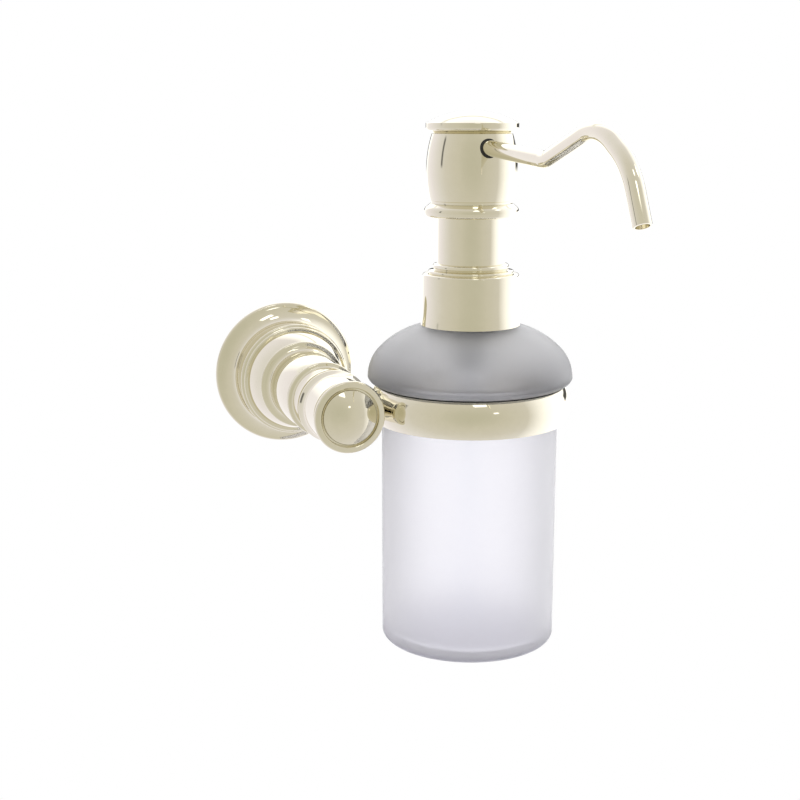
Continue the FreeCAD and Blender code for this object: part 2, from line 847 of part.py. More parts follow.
def pump_fixed_parts():
    """Cylinder, retainer, mouth gasket, ball cage and dip tube."""
    cylinder = S.cylinder_radius
    outer = CYLINDER_OUTER
    chamber = S.inlet_ball_radius + 0.9
    nozzle = S.dip_tube_radius + 0.9
    nozzle_bottom = SEAT_HEIGHT - 9
    flange = S.mouth_radius - 0.8
    stand_on_pump_axis(
        turned(
            "neck_gasket",
            ring_outline(outer + 0.3, flange, S.mouth_height, GASKET_TOP),
        )
    )
    stand_on_pump_axis(
        turned(
            "pump_cylinder",
            [
                (S.dip_tube_radius, nozzle_bottom),
                (nozzle, nozzle_bottom),
                (nozzle, SEAT_HEIGHT - 2),
                (outer, S.cylinder_floor - 2),
                (outer, GASKET_TOP),
                (flange, GASKET_TOP),
                (flange, CYLINDER_TOP),
                (cylinder, CYLINDER_TOP),
                (cylinder, S.cylinder_floor),
                (chamber, S.cylinder_floor),
                (chamber, SEAT_HEIGHT),
                (S.inlet_seat, SEAT_HEIGHT),
                (S.inlet_seat, SEAT_HEIGHT - 1),
                (S.dip_tube_radius, SEAT_HEIGHT - 1),
            ],
        )
    )
    stem_hole = S.stem_radius + S.running_fit
    stand_on_pump_axis(
        turned(
            "pump_retainer",
            [
                (stem_hole, RETAINER_PLUG),
                (cylinder, RETAINER_PLUG),
                (cylinder, CYLINDER_TOP),
                (S.stem_radius + 6.8, CYLINDER_TOP),
                (S.stem_radius + 6.8, CYLINDER_TOP + 1.2),
                (S.stem_radius + 2.4, CYLINDER_TOP + 1.2),
                (S.stem_radius + 1.8, CYLINDER_TOP + 6),
                (stem_hole, CYLINDER_TOP + 6),
            ],
        )
    )
    stand_on_pump_axis(
        turned("ball_cage", ring_outline(as_size(1.4), cylinder, S.cylinder_floor, SPRING_FLOOR))
    )
    tube_bottom = -(S.bottle_depth - S.glass_base - S.dip_tube_gap)
    stand_on_pump_axis(
        turned(
            "dip_tube",
            ring_outline(
                S.dip_tube_radius - S.dip_tube_wall, S.dip_tube_radius, tube_bottom, SEAT_HEIGHT - 1
            ),
        )
    )


def ball(name, radius, seat_radius, seat_height):
    """Steel ball that rests just clear of the rim of its seat."""
    sphere = doc.addObject("Part::Sphere", name)
    sphere.Label = name
    centre = seat_height + root_of(radius * radius - seat_radius * seat_radius) + BALL_GAP
    bind(sphere, "Radius", radius)
    bind(sphere, "Placement.Base.z", centre)
    stand_on_pump_axis(sphere)
    nodes.append(sphere)


def return_spring():
    """Compression spring between the ball cage and the piston."""
    body = new_body("return_spring")
    sketch = attach(body, "wire_outline", "XZ_Plane")
    wire = S.spring_wire
    start = SPRING_FLOOR + wire
    draw_circle(sketch, S.spring_radius, start, wire)
    coil = body.newObject("PartDesign::AdditiveHelix", "coil")
    coil.Profile = sketch
    coil.ReferenceAxis = (sketch, ["V_Axis"])
    coil.Mode = 0
    height = PISTON_BOTTOM - SPRING_FLOOR - wire * 2
    bind(coil, "Height", height)
    bind(coil, "Pitch", height / S.spring_coils)
    body.Tip = coil
    stand_on_pump_axis(body)


def plunger_parts():
    """Hollow stem with its piston, which the head pushes down."""
    piston = S.cylinder_radius - S.running_fit
    stem_bottom = PISTON_BOTTOM - 1
    chamber = S.outlet_ball_radius + 0.5
    stand_on_pump_axis(
        turned(
            "pump_stem",
            [
                (S.stem_bore, stem_bottom),
                (S.stem_radius - 0.3, stem_bottom),
                (S.stem_radius, stem_bottom + 0.3),
                (S.stem_radius, S.stem_top),
                (chamber, S.stem_top),
                (chamber, STEM_OUTLET),
                (S.stem_bore, STEM_OUTLET),
            ],
        )
    )
    stand_on_pump_axis(
        turned(
            "piston_seal",
            [
                (S.stem_radius, PISTON_BOTTOM),
                (piston, PISTON_BOTTOM),
                (piston, PISTON_BOTTOM + 1.4),
                (piston - 0.6, PISTON_BOTTOM + 2.2),
                (piston - 0.6, PISTON_TOP - 2.2),
                (piston, PISTON_TOP - 1.4),
                (piston, PISTON_TOP),
                (S.stem_radius, PISTON_TOP),
            ],
        )
    )


# ---------------------------------------------------------------- head


def head_barrel():
    """Waisted barrel of the pump head, hollow from below to take the sleeve."""
    hollow = S.sleeve_radius + S.loose_fit
    foot = S.head_bottom + S.head_ring_height
    cap_hole = HEAD_MOUTH
    body = turned(
        "head_barrel",
        [
            (hollow, foot),
            (HEAD_LOW_RADIUS - 0.4, foot),
            (HEAD_LOW_RADIUS - 0.2, foot + 1.2, 1.0, -1),
            (HEAD_WIDE_RADIUS, S.head_wide_height, 52, 1),
            (HEAD_TOP_RADIUS, S.head_top, 46, 1),
            (cap_hole, S.head_top),
            (cap_hole, HEAD_CEILING),
            (hollow, HEAD_CEILING),
        ],
    )
    spout_hole = S.spout_radius + S.loose_fit
    bored(
        body,
        "spout_hole",
        "YZ_Plane",
        [
            (-cap_hole + 2, 0),
            (-HEAD_WIDE_RADIUS - 2, 0),
            (-HEAD_WIDE_RADIUS - 2, spout_hole),
            (-cap_hole + 2, spout_hole),
        ],
        SPOUT_HEIGHT,
    )
    stand_on_pump_axis(body)


def head_base_ring():
    """Bead at the foot of the head, bored to run on the sleeve."""
    bore = S.sleeve_radius + S.sleeve_fit
    top = S.head_bottom + S.head_ring_height
    middle = S.head_bottom + 2
    stand_on_pump_axis(
        turned(
            "head_base_ring",
            [
                (bore, S.head_bottom),
                (HEAD_RING_RADIUS - 1.2, S.head_bottom),
                (HEAD_RING_RADIUS, middle - 0.6, 1.6, 1),
                (HEAD_RING_RADIUS - 0.7, top - 1.2, 2.2, 1),
                (HEAD_LOW_RADIUS - 0.4, top),
                (bore, top),
            ],
        )
    )


def head_core():
    """Plastic core that joins the stem to the spout inside the barrel."""
    outer = HEAD_MOUTH
    stem_hole = S.stem_radius + S.running_fit
    socket = S.stem_radius + 2
    seal_face = S.seal_start
    seal_radius = S.spout_radius + S.seal_wall
    lip_radius = S.spout_radius + S.loose_fit - S.running_fit
    body = turned(
        "head_core",
        [
            (S.stem_bore, S.stem_top),
            (stem_hole, S.stem_top),
            (stem_hole, S.stem_top - 10),
            (socket, S.stem_top - 10),
            (socket, HEAD_CEILING),
            (outer, HEAD_CEILING),
            (outer, S.head_top - S.cap_plug - S.running_fit),
            (ZERO, S.head_top - S.cap_plug - S.running_fit),
            (ZERO, SPOUT_HEIGHT),
            (S.stem_bore, SPOUT_HEIGHT),
        ],
    )
    bored(
        body,
        "spout_socket",
        "YZ_Plane",
        [
            (0, 0),
            (-outer - 2, 0),
            (-outer - 2, seal_radius),
            (-seal_face, seal_radius),
            (-seal_face, S.spout_radius),
            (-S.spout_start, S.spout_radius),
            (-S.spout_start, S.stem_bore),
            (0, S.stem_bore),
        ],
        SPOUT_HEIGHT,
    )
    stand_on_pump_axis(body)
    seal = turned(
        "spout_seal",
        [
            (S.spout_radius, 0),
            (seal_radius, 0),
            (seal_radius, outer - seal_face - 1),
            (lip_radius, outer - seal_face - 1),
            (lip_radius, HEAD_TOP_RADIUS + S.seal_lip - seal_face),
            (S.spout_radius, HEAD_TOP_RADIUS + S.seal_lip - seal_face),
        ],
    )
    lie_along_post(seal)
    stand_on_pump_axis(seal)
    bind(seal, "Placement.Base.y", -S.ring_reach - seal_face)
    bind(seal, "Placement.Base.z", SPOUT_HEIGHT)


def head_cap():
    """Lens shaped cap with a rounded rim that closes the head."""
    plug = HEAD_MOUTH - S.running_fit
    rim_bottom = S.head_top + 0.9
    rim_top = rim_bottom + S.cap_rim
    crown = crown_radius(CAP_RADIUS - 0.3, S.cap_crown)
    stand_on_pump_axis(
        turned(
            "head_cap",
            [
                (ZERO, S.head_top - S.cap_plug),
                (plug, S.head_top - S.cap_plug),
                (plug, S.head_top),
                (HEAD_TOP_RADIUS - 0.5, S.head_top),
                (HEAD_TOP_RADIUS + 0.3, rim_bottom, 1.4, -1),
                (CAP_RADIUS - 1.3, rim_bottom + 0.1),
                (CAP_RADIUS, rim_bottom + 1.5, 1.45, 1),
                (CAP_RADIUS, rim_top - 0.3),
                (CAP_RADIUS - 0.3, rim_top, 0.4, 1),
                (ZERO, rim_top + S.cap_crown, crown, 1),
            ],
        )
    )


def spout_corners():
    """Corners of the spout's centre line as (reach, height), and its bend radii."""
    corners = [
        (S.spout_start, ZERO),
        (S.droop_reach, ZERO),
        (S.bend_reach, -S.bend_drop),
        (S.crest_reach, S.crest_rise),
        (S.fall_reach, -S.fall_drop),
        (S.spout_reach, -S.tip_drop),
    ]
    return corners, [S.droop_bend, S.elbow_bend, S.crest_bend, S.fall_bend]


def draw_route(sketch, corners, radii):
    """Draw straight runs joined by tangent arcs, mirrored so that reach runs to -Y."""
    points = [FreeCAD.Vector(-across.value, up.value, 0) for across, up in corners]
    runs = [(after - before) for before, after in zip(points, points[1:])]
    start = points[0]
    pieces = []
    for number, radius in enumerate(radii, start=1):
        into = FreeCAD.Vector(runs[number - 1]).normalize()
        out = FreeCAD.Vector(runs[number]).normalize()
        setback = radius.value * math.tan(into.getAngle(out) / 2)
        arrive = points[number] - into * setback
        leave = points[number] + out * setback
        turn = 1 if into.cross(out).z > 0 else -1
        line = sketch.addGeometry(Part.LineSegment(start, arrive), False)
        arc = sketch.addGeometry(arc_between(arrive, leave, radius.value, turn), False)
        pieces.append((line, arc, turn))
        start = leave
    last = sketch.addGeometry(Part.LineSegment(start, points[-1]), False)
    hold(sketch, pieces[0][0], 1, -corners[0][0], corners[0][1], "start")
    hold(sketch, last, 2, -corners[-1][0], corners[-1][1], "tip")
    for number, (line, arc, turn) in enumerate(pieces):
        following = pieces[number + 1][0] if number + 1 < len(pieces) else last
        first, second = (1, 2) if turn > 0 else (2, 1)
        sketch.addConstraint(Sketcher.Constraint("Tangent", line, 2, arc, first))
        sketch.addConstraint(Sketcher.Constraint("Tangent", arc, second, following, 1))
        rule = Sketcher.Constraint("Radius", arc, radii[number].value)
        index = sketch.addConstraint(rule)
        sketch.renameConstraint(index, f"bend_{number}")
        bind(sketch, f"Constraints.bend_{number}", radii[number])
        corner = sketch.addGeometry(Part.Point(points[number + 1]), True)
        across, up = corners[number + 1]
        hold(sketch, corner, 1, -across, up, f"corner_{number}")
        sketch.addConstraint(Sketcher.Constraint("PointOnObject", corner, 1, line))
        sketch.addConstraint(Sketcher.Constraint("PointOnObject", corner, 1, following))


def spout_tube():
    """Bent tube that leaves the barrel, dips, rises to a crest and falls to its tip."""
    body = new_body("spout_tube")
    route = attach(body, "spout_route", "YZ_Plane", SPOUT_HEIGHT)
    draw_route(route, *spout_corners())
    section = attach(body, "spout_section", "XZ_Plane", SPOUT_HEIGHT)
    bind(section, "AttachmentOffset.Base.z", S.spout_start)
    for radius in (S.spout_radius, S.spout_radius - S.spout_wall):
        draw_circle(section, ZERO, ZERO, radius)
    pipe = body.newObject("PartDesign::AdditivePipe", "spout_pipe")
    pipe.Profile = section
    pipe.Spine = (route, [])
    body.Tip = pipe
    stand_on_pump_axis(body)


# ---------------------------------------------------------------- build, check, write


def check_document():
    """Stop if any object failed, any shape is bad or any cut removed nothing."""
    for item in doc.Objects:
        if "Invalid" in item.State or "Error" in item.State:
            raise RuntimeError(f"{item.Label} did not build: {item.State}")
    for before, after in cuts:
        if after.Shape.Volume > before.Shape.Volume - 0.01:
            raise RuntimeError(f"{after.Label} cuts nothing")
    for node in nodes:
        shape = node.Shape
        if shape.isNull() or not shape.isValid() or not shape.Solids:
            raise RuntimeError(f"{node.Label} has no valid solid")


def write_parts():
    os.makedirs("parts", exist_ok=True)
    for node in nodes:
        node.Shape.exportStep(os.path.join("parts", f"{node.Label}.step"))
        box = node.Shape.BoundBox
        print(f"{node.Label:18s} {node.Shape.Volume:10.1f} mm3 "
              f"x {box.XMin:7.2f} {box.XMax:7.2f} y {box.YMin:8.2f} {box.YMax:8.2f} "
              f"z {box.ZMin:7.2f} {box.ZMax:7.2f}")


wall_bracket()
wall_flange()
flange_set_screw()
post_neck()
bead_collar()
post_knob()
knob_finial()
tie_rod()
ring_link()
holder_ring()
ring_gasket()
glass_bottle()
collar_parts()
pump_fixed_parts()
ball("inlet_ball", S.inlet_ball_radius, S.inlet_seat, SEAT_HEIGHT)
return_spring()
plunger_parts()
ball("outlet_ball", S.outlet_ball_radius, S.stem_bore, STEM_OUTLET)
head_barrel()
head_base_ring()
head_core()
head_cap()
spout_tube()
doc.recompute()
check_document()
write_parts()
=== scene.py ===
import json
import logging
import math
from dataclasses import dataclass, field
from enum import Enum

import bpy
from mathutils import Matrix, Vector


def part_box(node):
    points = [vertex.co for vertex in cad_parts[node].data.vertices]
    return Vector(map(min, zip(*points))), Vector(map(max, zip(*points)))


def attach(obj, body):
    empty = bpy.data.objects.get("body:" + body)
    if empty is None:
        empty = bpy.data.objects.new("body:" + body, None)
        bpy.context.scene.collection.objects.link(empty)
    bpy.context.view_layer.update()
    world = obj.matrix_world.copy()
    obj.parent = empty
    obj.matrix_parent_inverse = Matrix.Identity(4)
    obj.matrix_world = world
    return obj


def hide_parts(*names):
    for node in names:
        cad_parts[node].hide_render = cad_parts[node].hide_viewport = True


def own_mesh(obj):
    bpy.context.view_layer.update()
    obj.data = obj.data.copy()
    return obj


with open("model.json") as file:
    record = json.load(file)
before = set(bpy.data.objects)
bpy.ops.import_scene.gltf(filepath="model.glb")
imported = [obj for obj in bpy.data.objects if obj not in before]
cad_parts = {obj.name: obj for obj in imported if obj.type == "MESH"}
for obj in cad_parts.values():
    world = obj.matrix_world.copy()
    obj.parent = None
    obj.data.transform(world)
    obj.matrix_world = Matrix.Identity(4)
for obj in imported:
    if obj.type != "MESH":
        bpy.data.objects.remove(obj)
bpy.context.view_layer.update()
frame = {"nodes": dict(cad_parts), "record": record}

MM = 0.001
ROUND_STEP = math.radians(6)
LONGEST_STEP = 2.0
CREASE = math.radians(32)
LOG = logging.getLogger("soap_dispenser")

Colour = tuple[float, float, float]
Socket = bpy.types.NodeSocket


class Axis(Enum):
    """Directions that the turned pieces' own Z axis can take."""

    UP = (0.0, 0.0, 0.0)
    OUT_OF_WALL = (math.pi / 2, 0.0, 0.0)
    TO_BOTTLE = (0.0, math.pi / 2, 0.0)


class Body(Enum):
    """Moving bodies of the frame that new pieces ride on."""

    MOUNT = "mount"
    BOTTLE = "bottle"
    COLLAR = "collar"
    HEAD = "head"
    PUMP = "pump"


class Turn(Enum):
    """Way that an arc turns, seen along the way the outline is drawn."""

    LEFT = 1
    RIGHT = -1


# ------------------------------------------------------------------ frame measures


@dataclass(frozen=True)
class NodeBox:
    """Lowest and highest corner of a frame node, in millimetres."""

    low: Vector
    high: Vector

    @classmethod
    def of(cls, node: str) -> "NodeBox":
        """Read a node's box from the frame.

        Args:
            node: Name of the frame node.

        Returns:
            The box, in millimetres.
        """
        low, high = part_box(node)
        return cls(Vector(low) / MM, Vector(high) / MM)

    @property
    def middle(self) -> Vector:
        """Centre of the box."""
        return (self.low + self.high) / 2

    @property
    def radius(self) -> float:
        """Half of the box's width along X."""
        return (self.high.x - self.low.x) / 2


# ------------------------------------------------------------------ outlines and meshes


class Outline:
    """Half section of a turned piece, in millimetres: (distance from the axis, height)."""

    def __init__(self, radius: float, height: float) -> None:
        """Start the outline at a point.

        Args:
            radius: Distance from the turning axis.
            height: Height along the turning axis.
        """
        self.points: list[Vector] = [Vector((radius, height))]

    def to(self, radius: float, height: float) -> "Outline":
        """Add a straight stretch and return the outline."""
        self.points.append(Vector((radius, height)))
        return self

    def arc(self, radius: float, height: float, bend: float, turn: Turn = Turn.LEFT) -> "Outline":
        """Add a round stretch.

        Args:
            radius: Distance of the arc's end from the axis.
            height: Height of the arc's end.
            bend: Radius of the arc.
            turn: Way that the arc turns.

        Returns:
            The outline itself.
        """
        start = self.points[-1]
        end = Vector((radius, height))
        chord = end - start
        half = chord.length / 2
        left = Vector((-chord.y, chord.x)).normalized()
        depth = math.sqrt(max(bend * bend - half * half, 0.0))
        centre = (start + end) / 2 + left * (turn.value * depth)
        opening = 2 * math.asin(min(1.0, half / bend))
        count = max(2, math.ceil(opening / ROUND_STEP), math.ceil(bend * opening / LONGEST_STEP))
        for number in range(1, count):
            spoke = start - centre
            spoke.rotate(Matrix.Rotation(turn.value * opening * number / count, 2))
            self.points.append(centre + spoke)
        self.points.append(end)
        return self

    def close(self) -> "Outline":
        """Go straight back to the first point and return the outline."""
        self.points.append(self.points[0].copy())
        return self


class Workshop:
    """Modelling steps shared by every piece, made with the mesh operators."""

    @staticmethod
    def clear_selection() -> None:
        """Leave edit mode and deselect every object."""
        if bpy.context.object is not None and bpy.context.object.mode != "OBJECT":
            bpy.ops.object.mode_set(mode="OBJECT")
        bpy.ops.object.select_all(action="DESELECT")

    @classmethod
    def pick(cls, piece: bpy.types.Object) -> None:
        """Select one object alone and make it active."""
        cls.clear_selection()
        piece.select_set(True)
        bpy.context.view_layer.objects.active = piece

    @classmethod
    def start_point(cls, name: str, place: Vector) -> bpy.types.Object:
        """Add a small plane, shrink it to one vertex and stay in edit mode.

        Args:
            name: Name of the new object.
            place: Place of the vertex, in metres.

        Returns:
            The new object, in edit mode with its vertex selected.
        """
        cls.clear_selection()
        bpy.ops.mesh.primitive_plane_add(size=MM, location=(0, 0, 0))
        piece = bpy.context.object
        piece.name = name
        piece.data.name = name
        bpy.ops.object.mode_set(mode="EDIT")
        bpy.ops.mesh.select_all(action="SELECT")
        bpy.ops.mesh.merge(type="CENTER")
        bpy.ops.transform.translate(value=place)
        return piece

    @classmethod
    def turn(cls, name: str, outline: Outline, around: int = 144) -> bpy.types.Object:
        """Extrude an outline point by point and spin it about the Z axis.

        Args:
            name: Name of the piece.
            outline: Half section; it closes on itself or ends on the axis.
            around: Number of segments round the piece.

        Returns:
            The turned object, standing on the world's Z axis.
        """
        points = outline.points
        piece = cls.start_point(name, Vector((points[0].x, 0, points[0].y)) * MM)
        for before, after in zip(points, points[1:]):
            shift = (after - before) * MM
            bpy.ops.mesh.extrude_region_move(
                TRANSFORM_OT_translate={"value": (shift.x, 0, shift.y)})
        bpy.ops.mesh.select_all(action="SELECT")
        bpy.ops.mesh.spin(steps=around, angle=2 * math.pi, center=(0, 0, 0), axis=(0, 0, 1))
        cls.weld()
        return piece

    @staticmethod
    def weld() -> None:
        """Merge doubles, point the normals outwards and go back to object mode."""
        bpy.ops.mesh.select_all(action="SELECT")
        bpy.ops.mesh.remove_doubles(threshold=0.002 * MM)
        bpy.ops.mesh.normals_make_consistent(inside=False)
        bpy.ops.object.mode_set(mode="OBJECT")

    @classmethod
    def apply(cls, piece: bpy.types.Object, kind: str, **settings: object) -> None:
        """Add a modifier to a piece and apply it.

        Args:
            piece: Object to change.
            kind: Blender's name of the modifier type.
            **settings: The modifier's properties.
        """
        cls.pick(piece)
        modifier = piece.modifiers.new(kind.lower(), kind)
        for name, value in settings.items():
            setattr(modifier, name, value)
        bpy.ops.object.modifier_apply(modifier=modifier.name)

    @classmethod
    def soften(cls, piece: bpy.types.Object, width: float) -> None:
        """Round the sharp edges of a piece and shade it smooth by the larger faces.

        Args:
            piece: Object to finish.
            width: Width of the rounding, in millimetres; 0 leaves the edges sharp.
        """
        if width > 0:
            cls.apply(piece, "BEVEL", width=width * MM, segments=2, limit_method="ANGLE",
                      angle_limit=CREASE, use_clamp_overlap=True)
        cls.pick(piece)
        bpy.ops.object.shade_smooth_by_angle(angle=CREASE)
        cls.apply(piece, "WEIGHTED_NORMAL", mode="FACE_AREA", keep_sharp=True, weight=80)

    @classmethod
    def place(cls, piece: bpy.types.Object, axis: Axis, base: Vector) -> None:
        """Turn a piece onto its axis, move it, and write its place into its mesh.

        Args:
            piece: Object that stands on the world's Z axis.
            axis: Direction that its Z axis takes.
            base: Point that its origin moves to, in millimetres.
        """
        cls.pick(piece)
        piece.rotation_euler = axis.value
        piece.location = base * MM
        bpy.ops.object.transform_apply(location=True, rotation=True, scale=True)


# ------------------------------------------------------------------ node graphs


class Graph:
    """Small helper that adds nodes to a tree and links them."""

    def __init__(self, tree: bpy.types.NodeTree) -> None:
        """Keep the tree that the nodes go into."""
        self.tree = tree

    def add(self, kind: str, **settings: object) -> bpy.types.Node:
        """Add a node.

        Args:
            kind: Blender's name of the node type.
            **settings: Node properties, or input values as in_NAME with spaces as underscores.

        Returns:
            The new node.
        """
        node = self.tree.nodes.new(kind)
        for name, value in settings.items():
            if name.startswith("in_"):
                node.inputs[name[3:].replace("_", " ")].default_value = value
            else:
                setattr(node, name, value)
        return node

    def link(self, source: Socket, target: Socket) -> None:
        """Link one socket to another."""
        self.tree.links.new(source, target)

    def math(self, operation: str, first: Socket | float,
             second: Socket | float | None = None) -> Socket:
        """Add a math node.

        Args:
            operation: Name of the operation.
            first: Socket or number.
            second: Socket or number, if the operation takes two.

        Returns:
            The node's output.
        """
        node = self.add("ShaderNodeMath", operation=operation)
        for index, value in enumerate((first, second)):
            if isinstance(value, Socket):
                self.link(value, node.inputs[index])
            elif value is not None:
                node.inputs[index].default_value = value
        return node.outputs[0]

    def dot(self, vector: Socket, axis: Vector) -> Socket:
        """Add the dot product of a vector and a fixed axis and return it."""
        node = self.add("ShaderNodeVectorMath", operation="DOT_PRODUCT")
        self.link(vector, node.inputs[0])
        node.inputs[1].default_value = axis
        return node.outputs["Value"]

    def ramp(self, factor: Socket, stops: list[tuple[float, Colour]]) -> Socket:
        """Add a colour ramp.

        Args:
            factor: Socket that drives the ramp.
            stops: Places from 0 to 1 with their colours.

        Returns:
            The ramp's colour output.
        """
        node = self.add("ShaderNodeValToRGB")
        while len(node.color_ramp.elements) < len(stops):
            node.color_ramp.elements.new(0.5)
        for element, (place, colour) in zip(node.color_ramp.elements, stops):
            element.position = place
            element.color = (*colour, 1)
        self.link(factor, node.inputs[0])
        return node.outputs[0]

    def span(self, value: Socket, low: float, high: float, to_low: float = 0.0,
             to_high: float = 1.0) -> Socket:
        """Add a clamped linear map from one range to another.

        Args:
            value: Socket to map.
            low: Value that gives to_low.
            high: Value that gives to_high.
            to_low: Result at low.
            to_high: Result at high.

        Returns:
            The mapped value.
        """
        node = self.add("ShaderNodeMapRange", clamp=True)
        for index, number in enumerate((low, high, to_low, to_high), start=1):
            node.inputs[index].default_value = number
        self.link(value, node.inputs[0])
        return node.outputs[0]

    def mix(self, factor: Socket, below: Socket, above: Socket | Colour) -> Socket:
        """Mix one colour over another.

        Args:
            factor: Share of the upper colour.
            below: Lower colour.
            above: Upper colour, as a socket or plain numbers.

        Returns:
            The mixed colour.
        """
        node = self.add("ShaderNodeMix", data_type="RGBA")
        self.link(factor, node.inputs[0])
        self.link(below, node.inputs[6])
        if isinstance(above, Socket):
            self.link(above, node.inputs[7])
        else:
            node.inputs[7].default_value = (*above, 1)
        return node.outputs[2]


def surface_polish() -> bpy.types.NodeTree:
    """Node group for the fine unevenness of a polished, ground or moulded surface.

    Returns:
        Group with inputs Scale and Depth, and outputs Mask and Normal.
    """
    found = bpy.data.node_groups.get("surface_polish")
    if found is not None:
        return found
    tree = bpy.data.node_groups.new("surface_polish", "ShaderNodeTree")
    for name, value in (("Scale", 300.0), ("Depth", 0.02)):
        socket = tree.interface.new_socket(name=name, in_out="INPUT", socket_type="NodeSocketFloat")
        socket.default_value = value
    tree.interface.new_socket(name="Mask", in_out="OUTPUT", socket_type="NodeSocketFloat")
    tree.interface.new_socket(name="Normal", in_out="OUTPUT", socket_type="NodeSocketVector")
    graph = Graph(tree)
    inside = graph.add("NodeGroupInput")
    outside = graph.add("NodeGroupOutput")
    place = graph.add("ShaderNodeTexCoord")
    coarse = graph.add("ShaderNodeTexNoise", in_Detail=4.0, in_Roughness=0.6)
    fine = graph.add("ShaderNodeTexNoise", in_Detail=3.0, in_Roughness=0.7)
    graph.link(place.outputs["Object"], coarse.inputs["Vector"])
    graph.link(place.outputs["Object"], fine.inputs["Vector"])
    graph.link(graph.math("MULTIPLY", inside.outputs["Scale"], 0.12), coarse.inputs["Scale"])
    graph.link(inside.outputs["Scale"], fine.inputs["Scale"])
    blend = graph.math("MULTIPLY", coarse.outputs[0], fine.outputs[0])
    graph.link(graph.span(blend, 0.12, 0.40), outside.inputs["Mask"])
    bump = graph.add("ShaderNodeBump", in_Distance=0.02 * MM)
    graph.link(inside.outputs["Depth"], bump.inputs["Strength"])
    graph.link(fine.outputs[0], bump.inputs["Height"])
    graph.link(bump.outputs[0], outside.inputs["Normal"])
    return tree


@dataclass(frozen=True)
class Finish:
    """A surface finish: its colours, its gloss and how even its surface is."""

    name: str
    slot: str
    tint: Colour
    shade: Colour
    metallic: float = 0.0
    roughness: float = 0.3
    spread: float = 0.05
    grain: float = 300.0
    depth: float = 0.02
    transmission: float = 0.0
    ior: float = 1.5

    def material(self) -> bpy.types.Material:
        """Build the material, or return it if it is there.

        Returns:
            The finished material.
        """
        found = bpy.data.materials.get(self.name)
        if found is not None:
            return found
        made = bpy.data.materials.new(self.name)
        made.use_nodes = True
        tree = made.node_tree
        tree.nodes.clear()
        graph = Graph(tree)
        output = graph.add("ShaderNodeOutputMaterial")
        shader = graph.add("ShaderNodeBsdfPrincipled", in_Metallic=self.metallic, in_IOR=self.ior,
                           in_Transmission_Weight=self.transmission)
        graph.link(shader.outputs[0], output.inputs[0])
        polish = graph.add("ShaderNodeGroup", node_tree=surface_polish())
        polish.inputs["Scale"].default_value = self.grain
        polish.inputs["Depth"].default_value = self.depth
        mask = polish.outputs["Mask"]
        graph.link(self.colour(graph, mask), shader.inputs["Base Color"])
        low = max(0.0, self.roughness - self.spread / 2)
        graph.link(graph.span(mask, 0, 1, low, low + self.spread), shader.inputs["Roughness"])
        graph.link(polish.outputs["Normal"], shader.inputs["Normal"])
        return made

    def colour(self, graph: Graph, mask: Socket) -> Socket:
        """Move the colour a little between shade and tint.

        Args:
            graph: The material's graph.
            mask: Evenness of the surface.

        Returns:
            The base colour.
        """
        return graph.ramp(mask, [(0.0, self.shade), (1.0, self.tint)])


@dataclass(frozen=True)
class FrostedGlass(Finish):
    """Satin glass: pale on the body, greyer at the shoulder and in the thick base as painted shade
    by height, with a painted lighter top on the shoulder, for light passing through the glass.
    """

    # The shoulder, its foot and the base colours are painted light: a lighter top, a darker foot
    # and a darker base for light through the thick glass.
    shoulder: Colour = (0.88, 0.88, 0.89)
    shoulder_foot_painted_shade: Colour = (0.64, 0.64, 0.66)
    base: Colour = (0.55, 0.54, 0.62)
    shoulder_from: float = 7.0 * MM
    shoulder_to: float = 26.0 * MM
    base_below: float = -95.2 * MM

    def colour(self, graph: Graph, mask: Socket) -> Socket:
        """Let the colour follow the height on the bottle: painted shade at the shoulder's foot and
        in the base, and a painted lighter top on the shoulder, for light passing through the glass.

        Args:
            graph: The material's graph.
            mask: Evenness of the surface.

        Returns:
            The base colour.
        """
        place = graph.add("ShaderNodeTexCoord")
        split = graph.add("ShaderNodeSeparateXYZ")
        graph.link(place.outputs["Object"], split.inputs[0])
        height = split.outputs["Z"]
        body = super().colour(graph, mask)
        upper = graph.span(height, self.shoulder_from - MM, self.shoulder_from + MM)
        lower = graph.span(height, self.base_below + MM, self.base_below - MM)
        rise = graph.span(height, self.shoulder_from, self.shoulder_to)
        # Painted shade and highlight: the shoulder darkens towards its foot and lightens to its
        # top, and the base below base_below is painted darker.
        dome = graph.ramp(rise, [(0.1, self.shoulder_foot_painted_shade), (1.0, self.shoulder)])
        return graph.mix(lower, graph.mix(upper, body, dome), self.base)


NICKEL = Finish("mirror_nickel", "polished_nickel", (0.84, 0.80, 0.66), (0.81, 0.77, 0.63),
                metallic=1.0, roughness=0.04, spread=0.03, grain=260.0, depth=0.002)
GLASS = FrostedGlass("satin_glass", "frosted_glass", (0.97, 0.965, 0.99), (0.94, 0.935, 0.965),
                     roughness=0.45, spread=0.1, grain=1500.0, depth=0.5, transmission=1.0,
                     ior=1.45)
BRACKET = Finish("zinc_plate", "bracket_steel", (0.62, 0.63, 0.64), (0.50, 0.51, 0.53),
                 metallic=1.0, roughness=0.34, spread=0.2, grain=120.0, depth=0.2)
STEEL = Finish("stainless_steel", "steel", (0.66, 0.66, 0.66), (0.58, 0.58, 0.59),
               metallic=1.0, roughness=0.25, spread=0.12, grain=400.0, depth=0.1)
PLASTIC = Finish("moulded_plastic", "white_plastic", (0.88, 0.88, 0.86), (0.84, 0.84, 0.82),
                 roughness=0.42, spread=0.1, grain=500.0, depth=0.12)
CLEAR = Finish("natural_plastic", "clear_plastic", (0.98, 0.98, 0.99), (0.95, 0.96, 0.97),
               roughness=0.12, spread=0.08, grain=350.0, depth=0.06, transmission=1.0,
               ior=1.2)
